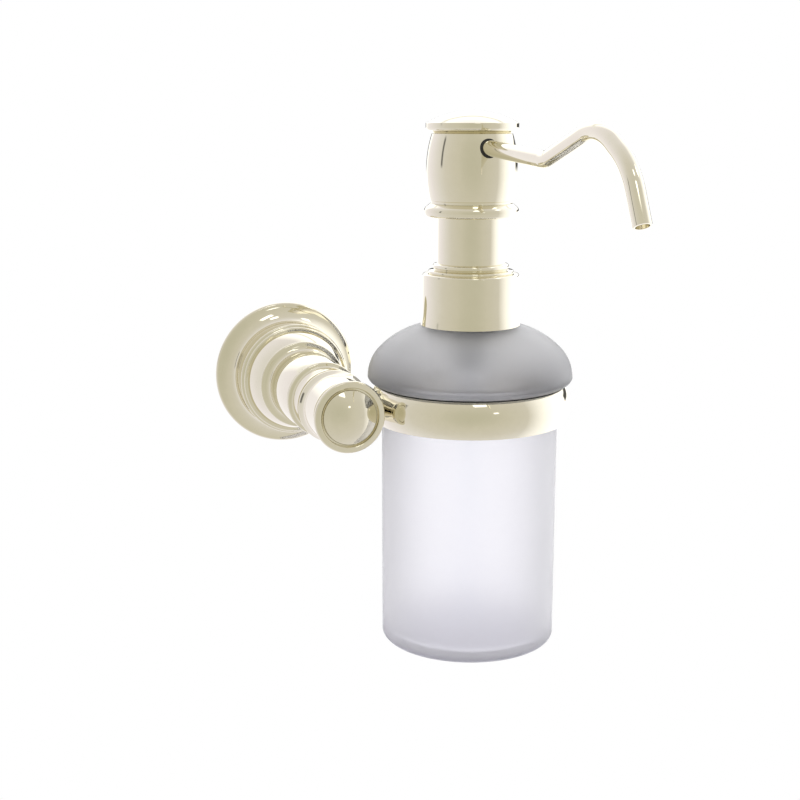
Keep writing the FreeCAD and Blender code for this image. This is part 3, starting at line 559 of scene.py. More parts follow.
# Black rubber for the gaskets; round the spout its black is painted shade for the gap at the hole,
# and on the ring's washer it also stands in for shade under the glass.
RUBBER_AND_GAP_SHADE = Finish("black_rubber_and_gap_shade", "gasket_rubber", (0.035, 0.035, 0.035), (0.02, 0.02, 0.02),
                roughness=0.6, spread=0.15, grain=700.0, depth=0.25)
FINISHES = {
    finish.slot: finish for finish in (NICKEL, GLASS, BRACKET, STEEL, PLASTIC, CLEAR, RUBBER_AND_GAP_SHADE)
}


# ------------------------------------------------------------------ sub-assemblies


@dataclass
class SubAssembly:
    """Base of the sub-assemblies: it dresses pieces and reports them."""

    made: list[bpy.types.Object] = field(default_factory=list)

    def keep(self, piece: bpy.types.Object, node: str, body: Body, finish: Finish) -> None:
        """Give a piece its finish, let it ride and let it stand for its frame node.

        Args:
            piece: The finished mesh object.
            node: Frame node that it replaces.
            body: Body that it rides on.
            finish: Its surface.
        """
        piece.data.materials.clear()
        piece.data.materials.append(finish.material())
        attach(piece, body.value)
        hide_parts(node)
        self.made.append(piece)
        LOG.info("%s stands for %s on body %s", piece.name, node, body.value)


@dataclass
class WallPost(SubAssembly):
    """Flange, neck, beads, knob and finial, turned about the axis out of the wall."""

    rim: float = 2.6
    bell_top: float = 17.8
    bell_radius: float = 23.2
    step_top: float = 21.4
    cone_top: float = 31.4
    cone_radius: float = 18.2
    neck_radius: float = 15.2
    neck_end_radius: float = 13.9
    bead_radius: float = 14.9
    waist: float = 12.9
    lip: float = 14.0
    shoulder: float = 14.4
    shoulder_height: float = 79.0
    groove: float = 0.75
    rod_hole: float = 3.06
    face_step: float = 0.3
    skirt: float = 6.3
    skirt_top: float = 3.2
    hollow: float = 21.5
    hollow_top: float = 7.6
    boss_hole: float = 11.06
    nut_seat: float = 6.0
    edge: float = 0.12
    sides: int = 176

    def build(self) -> None:
        """Build and dress the five turned pieces."""
        flange = NodeBox.of("wall_flange")
        neck = NodeBox.of("post_neck")
        bead = NodeBox.of("bead_collar")
        knob = NodeBox.of("post_knob")
        finial = NodeBox.of("knob_finial")
        front = -knob.low.y
        pieces = {
            "wall_flange": self.flange(flange.radius, -flange.low.y),
            "post_neck": self.neck(-neck.high.y, -neck.low.y),
            "bead_collar": self.beads(-bead.high.y, -bead.low.y),
            "post_knob": self.knob(-knob.high.y, front - self.face_step, finial.radius),
            "knob_finial": self.finial(finial.radius, -finial.high.y, front - self.face_step,
                                       -finial.low.y),
        }
        for node, outline in pieces.items():
            piece = Workshop.turn(f"turned_{node}", outline, self.sides)
            Workshop.soften(piece, self.edge)
            Workshop.place(piece, Axis.OUT_OF_WALL, Vector((0, 0, 0)))
            self.keep(piece, node, Body.MOUNT, NICKEL)

    def flange(self, radius: float, height: float) -> Outline:
        """Draw the bell with its two turned steps.

        Args:
            radius: Radius of the rim.
            height: Height of the top over the wall.

        Returns:
            The half section.
        """
        bell, top, cone = self.bell_radius, self.bell_top, self.cone_radius
        cove = cone - self.neck_radius - 0.4
        return (
            Outline(radius - self.skirt, 0)
            .to(radius - 0.9, 0)
            .arc(radius, 1.3, 1.6)
            .arc(radius - 0.8, self.rim, 1.5)
            .to(radius - 1.3, self.rim)
            .arc(bell + 2.0, self.rim + 2.3, 10.8, Turn.RIGHT)
            .arc(bell + 0.1, self.rim + 6.4, 5.4, Turn.RIGHT)
            .to(bell, top)
            .to(bell + 0.5, top + 0.2)
            .arc(bell - 0.1, top + 1.7, 0.95)
            .to(bell - 0.6, top + 1.9)
            .to(bell - 0.5, top + 2.1)
            .arc(bell - 1.2, self.step_top, 0.95)
            .to(bell - 1.9, self.step_top)
            .arc(cone - 0.3, self.cone_top, 40)
            .to(cone, self.cone_top + 0.2)
            .arc(cone - 0.3, self.cone_top + 1.6, 0.9)
            .to(cone - 1.3, self.cone_top + 1.7)
            .arc(self.neck_radius - 0.4, height, cove, Turn.RIGHT)
            .to(self.rod_hole, height)
            .to(self.rod_hole, height - 5)
            .to(10.0, height - 5)
            .to(self.boss_hole, height - 18.5)
            .to(self.boss_hole, self.hollow_top)
            .to(self.hollow, self.hollow_top)
            .to(self.hollow, self.skirt_top)
            .to(radius - self.skirt, self.skirt_top)
            .close()
        )

    def neck(self, start: float, end: float) -> Outline:
        """Draw the barrel shaped neck.

        Args:
            start: Height of its back end.
            end: Height of its front end.

        Returns:
            The half section.
        """
        return (
            Outline(self.rod_hole, start)
            .to(self.neck_radius - 0.4, start)
            .arc(self.neck_radius, start + 4, 30)
            .arc(self.neck_end_radius, end, 90)
            .to(self.rod_hole, end)
            .close()
        )

    def beads(self, start: float, end: float) -> Outline:
        """Draw the ring with two fine beads.

        Args:
            start: Height of its back end.
            end: Height of its front end.

        Returns:
            The half section.
        """
        radius = self.bead_radius
        return (
            Outline(self.rod_hole, start)
            .to(radius - 0.6, start)
            .arc(radius - 0.6, start + 1.5, 0.8)
            .to(radius - 0.9, start + 1.8)
            .to(radius - 0.3, start + 2.1)
            .arc(radius - 0.3, start + 3.9, 1.0)
            .to(radius - 1.2, start + 4.2)
            .to(radius - 1.7, end)
            .to(self.rod_hole, end)
            .close()
        )

    def knob(self, start: float, front: float, finial: float) -> Outline:
        """Draw the waisted drum.

        Args:
            start: Height of its back.
            front: Height of its front face.
            finial: Radius of the finial that it holds.

        Returns:
            The half section.
        """
        back, lip = self.shoulder_height, front - 2.4
        return (
            Outline(self.rod_hole, start)
            .to(self.bead_radius - 1.7, start)
            .arc(self.shoulder - 0.9, back - 1.2, 16, Turn.RIGHT)
            .arc(self.shoulder, back - 0.4, 0.9)
            .arc(self.shoulder - 0.2, back + 0.6, 1.2)
            .arc(self.waist, back + 3.3, 14, Turn.RIGHT)
            .to(self.waist, back + 13.3)
            .arc(self.lip - 0.5, lip, 16, Turn.RIGHT)
            .arc(self.lip, lip + 0.9, 1.3)
            .arc(self.lip - 0.5, front, 1.7)
            .to(finial + self.groove + 0.4, front + 0.3)
            .to(finial + self.groove, front - 0.1)
            .to(finial + self.groove, front - 2.2)
            .to(self.rod_hole, front - 2.2)
            .close()
        )

    def finial(self, radius: float, seat: float, front: float, crown: float) -> Outline:
        """Draw the domed nut.

        Args:
            radius: Its radius.
            seat: Height of its lowest point.
            front: Height of the knob's front face.
            crown: Height of the dome.

        Returns:
            The half section.
        """
        edge, rise = radius - 0.4, crown - front - 0.1
        ball = (edge * edge + rise * rise) / (2 * rise)
        return (
            Outline(0, seat)
            .to(self.nut_seat, seat)
            .to(self.nut_seat, seat + 1.6)
            .to(radius, seat + 1.6)
            .to(radius, front - 0.4)
            .arc(edge, front + 0.1, 0.6)
            .arc(0, crown, ball)
        )


@dataclass
class BottleHolder(SubAssembly):
    """Bulged ring, the stub that joins it to the post, and the washer on its edge."""

    bulge: float = 2.4
    edge_round: float = 0.5
    recess: float = 0.6
    grip: float = 4.65
    screw_hole: float = 1.9

    def build(self) -> None:
        """Build and dress the ring, the stub and the washer."""
        ring = NodeBox.of("holder_ring")
        washer = NodeBox.of("ring_gasket")
        stub = NodeBox.of("ring_stub")
        inner = NodeBox.of("glass_bottle").radius - self.grip
        half = ring.high.z
        band = self.ring(ring.radius, inner, half)
        piece = Workshop.turn("bulged_holder_ring", band, 192)
        Workshop.soften(piece, 0.12)
        Workshop.place(piece, Axis.UP, Vector((ring.middle.x, ring.middle.y, 0)))
        self.keep(piece, "holder_ring", Body.MOUNT, NICKEL)

        # The washer is a real seat under the glass, recessed from the ring's edge; its black also
        # stands in for the shade in the gap between glass and ring, so it is partly painted shade.
        flat = (
            Outline(inner, half)
            .to(washer.radius - self.recess, half)
            .to(washer.radius - self.recess, washer.high.z)
            .to(inner, washer.high.z)
            .close()
        )
        piece = Workshop.turn("ring_washer_gap_shade", flat, 128)
        Workshop.soften(piece, 0.1)
        Workshop.place(piece, Axis.UP, Vector((ring.middle.x, ring.middle.y, 0)))
        self.keep(piece, "ring_gasket", Body.MOUNT, RUBBER_AND_GAP_SHADE)

        radius = stub.high.z
        length = stub.high.x - stub.low.x
        post = (
            Outline(self.screw_hole, 0)
            .to(radius, 0)
            .to(radius, length)
            .to(self.screw_hole, length)
            .close()
        )
        piece = Workshop.turn("link_stub", post, 64)
        Workshop.soften(piece, 0.15)
        Workshop.place(piece, Axis.TO_BOTTLE, Vector((stub.low.x, stub.middle.y, 0)))
        self.keep(piece, "ring_stub", Body.MOUNT, NICKEL)

    def ring(self, outer: float, inner: float, half: float) -> Outline:
        """Draw the band.

        Args:
            outer: Largest radius.
            inner: Radius of the hole.
            half: Half of the height.

        Returns:
            The half section.
        """
        edge = outer - self.bulge
        bend = (half * half + self.bulge * self.bulge) / (2 * self.bulge)
        corner = self.edge_round
        return (
            Outline(inner, corner - half)
            .arc(inner + corner, -half, corner)
            .to(edge, -half)
            .arc(edge, half, bend)
            .to(inner + corner, half)
            .arc(inner, half - corner, corner)
            .close()
        )


@dataclass
class Bottle(SubAssembly):
    """Frosted glass bottle: straight body, bulging shoulder and mouth."""

    wall: float = 2.6
    floor: float = 3.5
    overhang: float = 5.65
    seat: float = 2.1
    shoulder_round: float = 16.0
    crown: float = 34.0
    widest: float = 10.5
    turning: float = math.radians(45)
    mouth: float = 15.6
    mouth_round: float = 0.6
    foot_round: float = 2.5
    floor_round: float = 4.0
    seat_round: float = 4.4

    def build(self) -> None:
        """Build and dress the glass."""
        box = NodeBox.of("glass_bottle")
        level = NodeBox.of("ring_gasket").high.z
        piece = Workshop.turn("frosted_bottle", self.section(box, level), 192)
        Workshop.soften(piece, 0)
        Workshop.place(piece, Axis.UP, Vector((box.middle.x, box.middle.y, 0)))
        self.keep(piece, "glass_bottle", Body.BOTTLE, GLASS)

    def crown_height(self, radius: float, centre: Vector, inset: float) -> float:
        """Find the height of the shoulder's upper arc.

        Args:
            radius: Distance from the bottle's axis.
            centre: Centre of the arc.
            inset: Wall that is taken off the arc's radius.

        Returns:
            The height, in millimetres.
        """
        reach = self.crown - inset
        return centre.y + math.sqrt(reach * reach - (radius - centre.x) ** 2)

    def section(self, box: NodeBox, level: float) -> Outline:
        """Draw the wall of the bottle.

        Args:
            box: Box of the bottle's frame node.
            level: Height at which the shoulder rests.

        Returns:
            The half section.
        """
        widest, wall = box.radius, self.wall
        body = widest - self.overhang
        bottom, top = box.low.z, box.high.z
        middle = widest - self.shoulder_round
        away = Vector((math.cos(self.turning), math.sin(self.turning)))
        small = Vector((middle, self.widest))
        large = small - away * (self.crown - self.shoulder_round)
        outer_turn = small + away * self.shoulder_round
        inner_turn = small + away * (self.shoulder_round - wall)
        bore = self.mouth - wall
        floor = bottom + self.floor
        return (
            Outline(0, bottom)
            .to(body - self.foot_round, bottom)
            .arc(body, bottom + self.foot_round, self.foot_round)
            .to(body, level)
            .to(body + self.seat, level)
            .arc(widest, self.widest, self.seat_round)
            .arc(outer_turn.x, outer_turn.y, self.shoulder_round)
            .arc(self.mouth, self.crown_height(self.mouth, large, 0), self.crown)
            .to(self.mouth, top - self.mouth_round)
            .arc(self.mouth - self.mouth_round, top, self.mouth_round)
            .to(bore, top)
            .to(bore, self.crown_height(bore, large, wall))
            .arc(inner_turn.x, inner_turn.y, self.crown - wall, Turn.RIGHT)
            .arc(widest - wall, level + wall + 0.6, self.shoulder_round - wall, Turn.RIGHT)
            .to(body - wall, level + wall - 0.6)
            .to(body - wall, floor + self.floor_round)
            .arc(body - wall - self.floor_round, floor, self.floor_round, Turn.RIGHT)
            .to(0, floor)
        )


@dataclass
class Collar(SubAssembly):
    """Metal collar with its beads, and the sleeve that the head slides on."""

    wall: float = 1.1
    flare: float = 0.6
    flare_height: float = 9.0
    top: float = 51.4
    bead: float = 14.9
    lid: float = 1.4
    sleeve_wall: float = 1.0

    def build(self) -> None:
        """Build and dress the collar and the sleeve."""
        shell = NodeBox.of("collar_shell")
        sleeve = NodeBox.of("guide_sleeve")
        axis = Vector((shell.middle.x, shell.middle.y, 0))
        web = self.top - self.lid
        bead, foot, peak = self.bead, shell.low.z, shell.high.z
        radius = shell.radius - self.flare
        sweep = (self.flare_height ** 2 + self.flare ** 2) / (2 * self.flare)
        collar = (
            Outline(radius - self.wall, foot + 0.4)
            .to(shell.radius, foot)
            .arc(radius, foot + self.flare_height, sweep, Turn.RIGHT)
            .to(radius, self.top - 0.9)
            .arc(radius - 0.9, self.top, 0.9)
            .to(bead + 1.7, self.top)
            .arc(bead + 1.7, self.top + 1.2, 0.85)
            .to(bead + 0.3, self.top + 1.4)
            .arc(bead - 0.4, peak - 2.2, 1.6, Turn.RIGHT)
            .arc(bead - 0.5, peak - 0.3, 1.1)
            .to(sleeve.radius + 0.3, peak)
            .to(sleeve.radius, peak - 0.3)
            .to(sleeve.radius, web)
            .to(radius - self.wall, web)
            .close()
        )
        piece = Workshop.turn("beaded_collar", collar, 160)
        Workshop.soften(piece, 0.1)
        Workshop.place(piece, Axis.UP, axis)
        self.keep(piece, "collar_shell", Body.COLLAR, NICKEL)

        inner = sleeve.radius - self.sleeve_wall
        pipe = (
            Outline(inner, sleeve.low.z)
            .to(sleeve.radius, sleeve.low.z)
            .to(sleeve.radius, sleeve.high.z - 0.4)
            .to(sleeve.radius - 0.4, sleeve.high.z)
            .to(inner, sleeve.high.z)
            .close()
        )
        piece = Workshop.turn("head_sleeve", pipe, 144)
        Workshop.soften(piece, 0)
        Workshop.place(piece, Axis.UP, axis)
        self.keep(piece, "guide_sleeve", Body.COLLAR, NICKEL)


@dataclass
class PumpHead(SubAssembly):
    """Base bead, barrel, cap and the long bent spout."""

    foot: float = 16.4
    widest_height: float = 91.0
    neck: float = 15.6
    mouth: float = 12.8
    hollow: float = 13.6
    bore: float = 13.3
    cavity: float = 12.6
    lower_sweep: float = 52.0
    upper_sweep: float = 46.0
    plug_gap: float = 0.06
    cap_rim: float = 3.2
    # Sizes of the black ring round the spout, which is painted shade for the gap at its hole.
    shade_ring_wall: float = 0.6
    shade_ring_proud: float = 0.35
    shade_ring_blank: float = 12.0
    spout_wall: float = 0.8
    mouth_depth: float = 1.4
    droop_reach: float = 20.0
    bend_reach: float = 66.5
    bend_drop: float = 3.0
    crest_reach: float = 103.9
    crest_rise: float = 9.1
    fall_reach: float = 125.0
    fall_drop: float = 3.0
    spout_reach: float = 133.5
    tip_drop: float = 20.5
    bends: tuple[float, ...] = (55.0, 15.5, 25.0, 28.0)
    sides: int = 160
    spout_sides: int = 56

    def build(self) -> None:
        """Build and dress the head's pieces."""
        ring = NodeBox.of("head_base_ring")
        barrel = NodeBox.of("head_barrel")
        cap = NodeBox.of("head_cap")
        axis = Vector((barrel.middle.x, barrel.middle.y, 0))
        pieces = {
            "head_base_ring": (self.base_bead(ring), 0.1),
            "head_barrel": (self.barrel(barrel), 0.15),
            "head_cap": (self.cap(cap, barrel.high.z), 0.12),
        }
        for node, (outline, edge) in pieces.items():
            piece = Workshop.turn(f"turned_{node}", outline, self.sides)
            Workshop.soften(piece, edge)
            Workshop.place(piece, Axis.UP, axis)
            self.keep(piece, node, Body.HEAD, NICKEL)
        # The black ring round the spout is painted shade for the shadow gap at its hole.
        self.seal(barrel, axis)
        self.spout()

    def base_bead(self, box: NodeBox) -> Outline:
        """Draw the bead at the head's foot.

        Args:
            box: Box of the bead's frame node.

        Returns:
            The half section.
        """
        low, top, radius = box.low.z, box.high.z, box.radius
        return (
            Outline(self.bore, low)
            .to(radius - 1.2, low)
            .arc(radius, low + 1.4, 1.6)
            .arc(radius - 0.7, top - 1.2, 2.2)
            .to(self.foot - 0.4, top)
            .to(self.bore, top)
            .close()
        )

    def barrel(self, box: NodeBox) -> Outline:
        """Draw the waisted barrel.

        Args:
            box: Box of the barrel's frame node.

        Returns:
            The half section.
        """
        foot, top = box.low.z, box.high.z
        ceiling = top - self.cavity
        return (
            Outline(self.hollow, foot)
            .to(self.foot - 0.4, foot)
            .arc(self.foot - 0.2, foot + 1.2, 1.0, Turn.RIGHT)
            .arc(box.radius, self.widest_height, self.lower_sweep)
            .arc(self.neck, top, self.upper_sweep)
            .to(self.mouth, top)
            .to(self.mouth, ceiling)
            .to(self.hollow, ceiling)
            .close()
        )

    def cap(self, box: NodeBox, seat: float) -> Outline:
        """Draw the lens shaped cap.

        Args:
            box: Box of the cap's frame node.
            seat: Height of the barrel's top.

        Returns:
            The half section.
        """
        low, crown, radius = box.low.z, box.high.z, box.radius
        plug = self.mouth - self.plug_gap
        rim_low = seat + 0.9
        rim_high = rim_low + self.cap_rim
        edge, rise = radius - 0.3, crown - rim_high
        ball = (edge * edge + rise * rise) / (2 * rise)
        return (
            Outline(0, low)
            .to(plug, low)
            .to(plug, seat)
            .to(self.neck - 0.5, seat)
            .arc(self.neck + 0.3, rim_low, 1.4, Turn.RIGHT)
            .to(radius - 1.3, rim_low + 0.1)
            .arc(radius, rim_low + 1.5, 1.45)
            .to(radius, rim_high - 0.3)
            .arc(edge, rim_high, 0.4)
            .arc(0, crown, ball)
        )

    def seal(self, barrel: NodeBox, axis: Vector) -> None:
        """Make the black ring round the spout, its end following the barrel's skin: painted shade
        that stands in for the shadow gap at the spout's hole, in the rubber finish.

        Args:
            barrel: Box of the barrel's frame node.
            axis: The pump's axis.
        """
        box = NodeBox.of("spout_seal")
        radius = NodeBox.of("spout_tube").radius
        sleeve = (
            Outline(radius, 0)
            .to(radius + self.shade_ring_wall, 0)
            .to(radius + self.shade_ring_wall, self.shade_ring_blank)
            .to(radius, self.shade_ring_blank)
            .close()
        )
        piece = Workshop.turn("spout_gap_shade_ring", sleeve, 64)
        Workshop.place(piece, Axis.OUT_OF_WALL, Vector((axis.x, box.high.y, box.middle.z)))
        proud, middle = self.shade_ring_proud, box.middle.z
        skin = (
            Outline(0, middle - self.shade_ring_blank / 2)
            .to(barrel.radius + proud - 0.05, middle - self.shade_ring_blank / 2)
            .arc(self.neck + proud, barrel.high.z, self.upper_sweep)
            .to(0, barrel.high.z)
        )
        former = Workshop.turn("ring_former", skin, self.sides)
        Workshop.place(former, Axis.UP, axis)
        Workshop.apply(piece, "BOOLEAN", operation="INTERSECT", solver="EXACT", object=former)
        Workshop.pick(former)
        bpy.ops.object.delete()
        Workshop.soften(piece, 0.08)
        self.keep(piece, "spout_seal", Body.HEAD, RUBBER_AND_GAP_SHADE)

    def spout(self) -> None:
        """Sweep the tube along its runs and bends, and give it its wall."""
        box = NodeBox.of("spout_tube")
        radius = box.radius
        start = Vector((box.middle.x, box.high.y, NodeBox.of("spout_seal").middle.z))
        root = NodeBox.of("head_barrel").middle.y
        corners = [
            Vector((box.middle.x, root - reach, start.z + rise))
            for reach, rise in (
                (root - start.y, 0.0),
                (self.droop_reach, 0.0),
                (self.bend_reach, -self.bend_drop),
                (self.crest_reach, self.crest_rise),
                (self.fall_reach, -self.fall_drop),
                (self.spout_reach, -self.tip_drop),
            )
        ]
        Workshop.clear_selection()
        bpy.ops.mesh.primitive_circle_add(vertices=self.spout_sides, radius=radius * MM,
                                          fill_type="NOTHING", location=start * MM,
                                          rotation=(math.pi / 2, 0, 0))
        piece = bpy.context.object
        piece.name = piece.data.name = "bent_spout"
        bpy.ops.object.transform_apply(location=True, rotation=True, scale=True)
        bpy.ops.object.mode_set(mode="EDIT")
        bpy.ops.mesh.select_all(action="SELECT")
        here = corners[0]
        for number, bend in enumerate(self.bends, start=1):
            here = self.run_and_bend(here, corners[number], corners[number + 1], bend)
        self.run(corners[-1] - here)
        Workshop.weld()
        Workshop.apply(piece, "SOLIDIFY", thickness=self.spout_wall * MM, offset=-1.0,
                       use_even_offset=True)
        way = (corners[-1] - corners[-2]).normalized()
        bpy.ops.mesh.primitive_circle_add(vertices=self.spout_sides,
                                          radius=(radius - self.spout_wall) * MM,
                                          fill_type="NGON",
                                          location=(corners[-1] - way * self.mouth_depth) * MM,
                                          rotation=way.to_track_quat("Z", "Y").to_euler())
        piece.select_set(True)
        bpy.context.view_layer.objects.active = piece
        bpy.ops.object.join()
        Workshop.soften(piece, 0.12)
        self.keep(piece, "spout_tube", Body.HEAD, NICKEL)

    @staticmethod
    def run(way: Vector) -> None:
        """Draw the open end of the tube straight along a way, in two lengths."""
        for _ in range(2):
            bpy.ops.mesh.extrude_region_move(TRANSFORM_OT_translate={"value": way * MM / 2})

    def run_and_bend(self, here: Vector, corner: Vector, after: Vector, bend: float) -> Vector:
        """Draw the tube up to a corner and spin it round the bend.

        Args:
            here: End of the tube so far.
            corner: Corner of the route.
            after: Next corner.
            bend: Radius of the bend's centre line.

        Returns:
            End of the tube behind the bend.
        """
        into = (corner - here).normalized()
        out = (after - corner).normalized()
        angle = into.angle(out)
        setback = bend * math.tan(angle / 2)
        arrive, leave = corner - into * setback, corner + out * setback
        self.run(arrive - here)
        axis = into.cross(out).normalized()
        centre = arrive + axis.cross(into) * bend
        steps = max(6, math.ceil(angle / math.radians(3)))
        bpy.ops.mesh.spin(steps=steps, angle=-angle, center=centre * MM, axis=axis)
        return leave


@dataclass
class PumpSpring(SubAssembly):
    """The return spring, which shortens while the head goes down."""

    node: str = "return_spring"
    stroke: float = 14.0 * MM
    crease: float = math.radians(30)

    def build(self) -> None:
        """Copy the coil, join its triangles, shade it smooth and let it ride on the pump."""
        coil = bpy.data.objects.new("spring_coil", frame["nodes"][self.node].data.copy())
        bpy.context.scene.collection.objects.link(coil)
        Workshop.pick(coil)
        bpy.ops.object.mode_set(mode="EDIT")
        Workshop.weld()
        bpy.ops.object.shade_smooth_by_angle(angle=self.crease)
        self.keep(coil, self.node, Body.PUMP, STEEL)
        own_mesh(coil)


# ------------------------------------------------------------------ studio


def aim(azimuth: float, elevation: float) -> Vector:
    """Find a direction in the studio.

    Args:
        azimuth: Degrees from straight out of the wall towards the bottle's side.
        elevation: Degrees over the horizon.

    Returns:
        The direction, of length 1.
    """
    turn, tilt = math.radians(azimuth), math.radians(elevation)
    flat = math.cos(tilt)
    return Vector((math.sin(turn) * flat, -math.cos(turn) * flat, math.sin(tilt)))


@dataclass(frozen=True)
class Patch:
    """A bright or dark area of the studio that the polished pieces mirror.

    Its azimuth runs from straight out of the wall towards the bottle's side, in degrees.
    """

    azimuth: float
    elevation: float
    width: float
    height: float
    level: float
    blur: float = 0.02

    def mask(self, graph: Graph, way: Socket) -> Socket:
        """Build the patch's share at a direction.

        Args:
            graph: The world's graph.
            way: Direction that is looked along.

        Returns:
            1 inside the patch and 0 outside.
        """
        ahead = aim(self.azimuth, self.elevation)
        side = aim(self.azimuth + 90, 0)
        up = ahead.cross(side) * -1
        share = graph.span(graph.dot(way, ahead), 0.0, 0.05)
        for axis, size in ((side, self.width), (up, self.height)):
            reach = math.sin(math.radians(size / 2))
            offset = graph.math("ABSOLUTE", graph.dot(way, axis))
            inside = graph.span(offset, reach + self.blur, reach - self.blur)
            share = graph.math("MULTIPLY", share, inside)
        return share


@dataclass
class Studio:
    """Floor, surrounding light and camera."""

    floor_height: float = -0.32
    floor_half: float = 3.0
    sweep_height: float = 3.2
    sweep_round: float = 0.8
    camera_from_pump: Vector = field(default_factory=lambda: Vector((-0.19705, -0.4823, 0.1100)))
    yaw: float = math.radians(19.17)
    pitch: float = math.radians(11.89)
    lens: float = 59.81
    sensor: float = 36.0
    nearest: float = 0.01
    strength: float = 1.6
    back_light: float = 1.2
    bright_zones: tuple[tuple[float, float, float, float], ...] = (
        (113, 0, 0.40, 0.95),
        (158, 20, 0.76, 0.90),
    )
    patches: tuple[Patch, ...] = (
        Patch(158, 39, 80, 4, 1.0, 0.03),
        Patch(-7, 50, 12, 9, 2.6),
        Patch(2, 65, 9, 7, 2.4),
        Patch(73, 50, 12, 9, 2.6),
        Patch(9, 20, 5, 4, 2.2),
        Patch(148, 2, 60, 8, 0.10),
        Patch(-104, 12, 5, 22, 0.15, 0.03),
    )

    def build(self) -> None:
        """Make the whole studio."""
        self.floor()
        self.surroundings()
        self.camera()

    def floor(self) -> None:
        """Make a pale sweep: a floor that curves up behind the object."""
        half = self.floor_half
        piece = Workshop.start_point("studio_sweep", Vector((-half, -half, self.floor_height)))
        for run in ((0, 2 * half, 0), (0, 0, self.sweep_height)):
            bpy.ops.mesh.extrude_region_move(TRANSFORM_OT_translate={"value": run})
        bpy.ops.mesh.select_all(action="SELECT")
        bpy.ops.mesh.extrude_region_move(TRANSFORM_OT_translate={"value": (2 * half, 0, 0)})
        Workshop.clear_selection()
        Workshop.apply(piece, "BEVEL", width=self.sweep_round, segments=24, limit_method="ANGLE")
        bpy.ops.object.shade_smooth_by_angle(angle=math.radians(40))
        pale = bpy.data.materials.new("pale_floor")
        pale.use_nodes = True
        pale.node_tree.nodes.clear()
        graph = Graph(pale.node_tree)
        place = graph.add("ShaderNodeTexCoord")
        noise = graph.add("ShaderNodeTexNoise", in_Scale=3.0, in_Detail=2.0)
        graph.link(place.outputs["Object"], noise.inputs["Vector"])
        matt = graph.add("ShaderNodeBsdfDiffuse")
        tone = graph.ramp(noise.outputs[0], [(0.3, (0.72, 0.72, 0.72)), (0.7, (0.75, 0.75, 0.75))])
        graph.link(tone, matt.inputs["Color"])
        lit = graph.add("ShaderNodeEmission")
        through = graph.add("ShaderNodeLightPath").outputs["Is Transmission Ray"]
        graph.link(graph.span(through, 0, 1, 1.0, self.back_light), lit.inputs["Strength"])
        output = graph.add("ShaderNodeOutputMaterial")
        self.seen_or_mirrored(graph, matt.outputs[0], lit.outputs[0], output)
        pale.cycles.emission_sampling = "NONE"
        piece.data.materials.append(pale)
        piece.visible_glossy = False

    @staticmethod
    def seen_or_mirrored(graph: Graph, mirrored: Socket, seen: Socket,
                         output: bpy.types.Node) -> None:
        """Show one shader straight on or through glass, and another in reflections.

        Args:
            graph: Graph of the floor or of the world.
            mirrored: Shader for reflections and for soft light.
            seen: Shader for what is looked at.
            output: Output node.
        """
        path = graph.add("ShaderNodeLightPath")
        straight = graph.math("MAXIMUM", path.outputs["Is Camera Ray"],
                              path.outputs["Is Transmission Ray"])
        mix = graph.add("ShaderNodeMixShader")
        graph.link(straight, mix.inputs[0])
        graph.link(mirrored, mix.inputs[1])
        graph.link(seen, mix.inputs[2])
        graph.link(mix.outputs[0], output.inputs["Surface"])

    def surroundings(self) -> None:
        """Surround the object with soft light: warm in front, white at the sides and behind."""
        world = bpy.data.worlds.new("studio_light")
        bpy.context.scene.world = world
        world.use_nodes = True
        world.node_tree.nodes.clear()
        graph = Graph(world.node_tree)
        way = graph.add("ShaderNodeTexCoord").outputs["Generated"]
        ahead = Vector((-math.sin(self.yaw), -math.cos(self.yaw), 0.1)).normalized()
        facing = graph.span(graph.dot(way, ahead), -1.0, 1.0)
        colour = graph.ramp(facing, [
            (0.00, (0.70, 0.69, 0.72)),
            (0.19, (0.62, 0.60, 0.66)),
            (0.44, (0.53, 0.52, 0.53)),
            (0.64, (0.47, 0.455, 0.43)),
            (0.90, (0.43, 0.415, 0.365)),
            (1.00, (0.385, 0.375, 0.315)),
        ])
        for azimuth, elevation, low, high in self.bright_zones:
            zone = graph.span(graph.dot(way, aim(azimuth, elevation)), low, high)
            colour = graph.mix(zone, colour, (0.98, 0.98, 1.0))
        for patch in self.patches:
            level = patch.level / self.strength
            colour = graph.mix(patch.mask(graph, way), colour, (level, level, level * 0.99))
        mirrored = graph.add("ShaderNodeBackground", in_Strength=self.strength)
        graph.link(colour, mirrored.inputs["Color"])
        seen = graph.add("ShaderNodeBackground")
        through = graph.add("ShaderNodeLightPath").outputs["Is Transmission Ray"]
        graph.link(graph.span(through, 0, 1, 1.0, self.back_light), seen.inputs["Strength"])
        seen.inputs["Color"].default_value = (1, 1, 1, 1)
        output = graph.add("ShaderNodeOutputWorld")
        self.seen_or_mirrored(graph, mirrored.outputs[0], seen.outputs[0], output)

    def camera(self) -> None:
        """Set the camera at the object's usual viewing angle."""
        pump = NodeBox.of("guide_sleeve").middle * MM
        data = bpy.data.cameras.new("camera")
        data.lens = self.lens
        data.sensor_width = self.sensor
        data.clip_start = self.nearest
        camera = bpy.data.objects.new("camera", data)
        bpy.context.scene.collection.objects.link(camera)
        camera.location = Vector((pump.x, pump.y, 0)) + self.camera_from_pump
        camera.rotation_euler = (math.pi / 2 - self.pitch, 0, -self.yaw)
        bpy.context.scene.camera = camera
        bpy.context.scene.view_settings.view_transform = "Standard"


def dress_frame_nodes() -> None:
    """Give every frame node the finish of its material slot."""
    slots = {entry["node"]: entry["material_slot"] for entry in frame["record"]["subparts"]}
    for name, piece in frame["nodes"].items():
        for slot in piece.material_slots:
            slot.material = FINISHES[slots[name]].material()
    LOG.info("%d frame nodes dressed", len(slots))


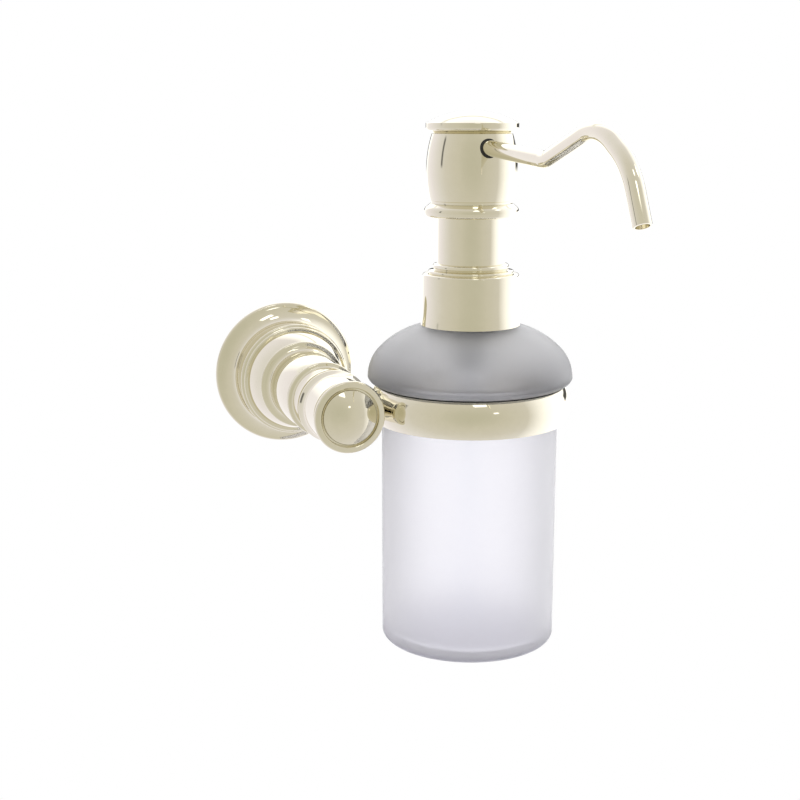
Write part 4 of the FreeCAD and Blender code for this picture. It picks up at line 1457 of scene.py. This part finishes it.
def main() -> None:
    """Build the studio and the object."""
    logging.basicConfig(level=logging.INFO, format="%(name)s: %(message)s")
    Studio().build()
    dress_frame_nodes()
    assemblies = (WallPost(), BottleHolder(), Bottle(), Collar(), PumpHead(), PumpSpring())
    for assembly in assemblies:
        assembly.build()
        LOG.info("%s: %d pieces", type(assembly).__name__, len(assembly.made))


if __name__ == "__main__":
    main()
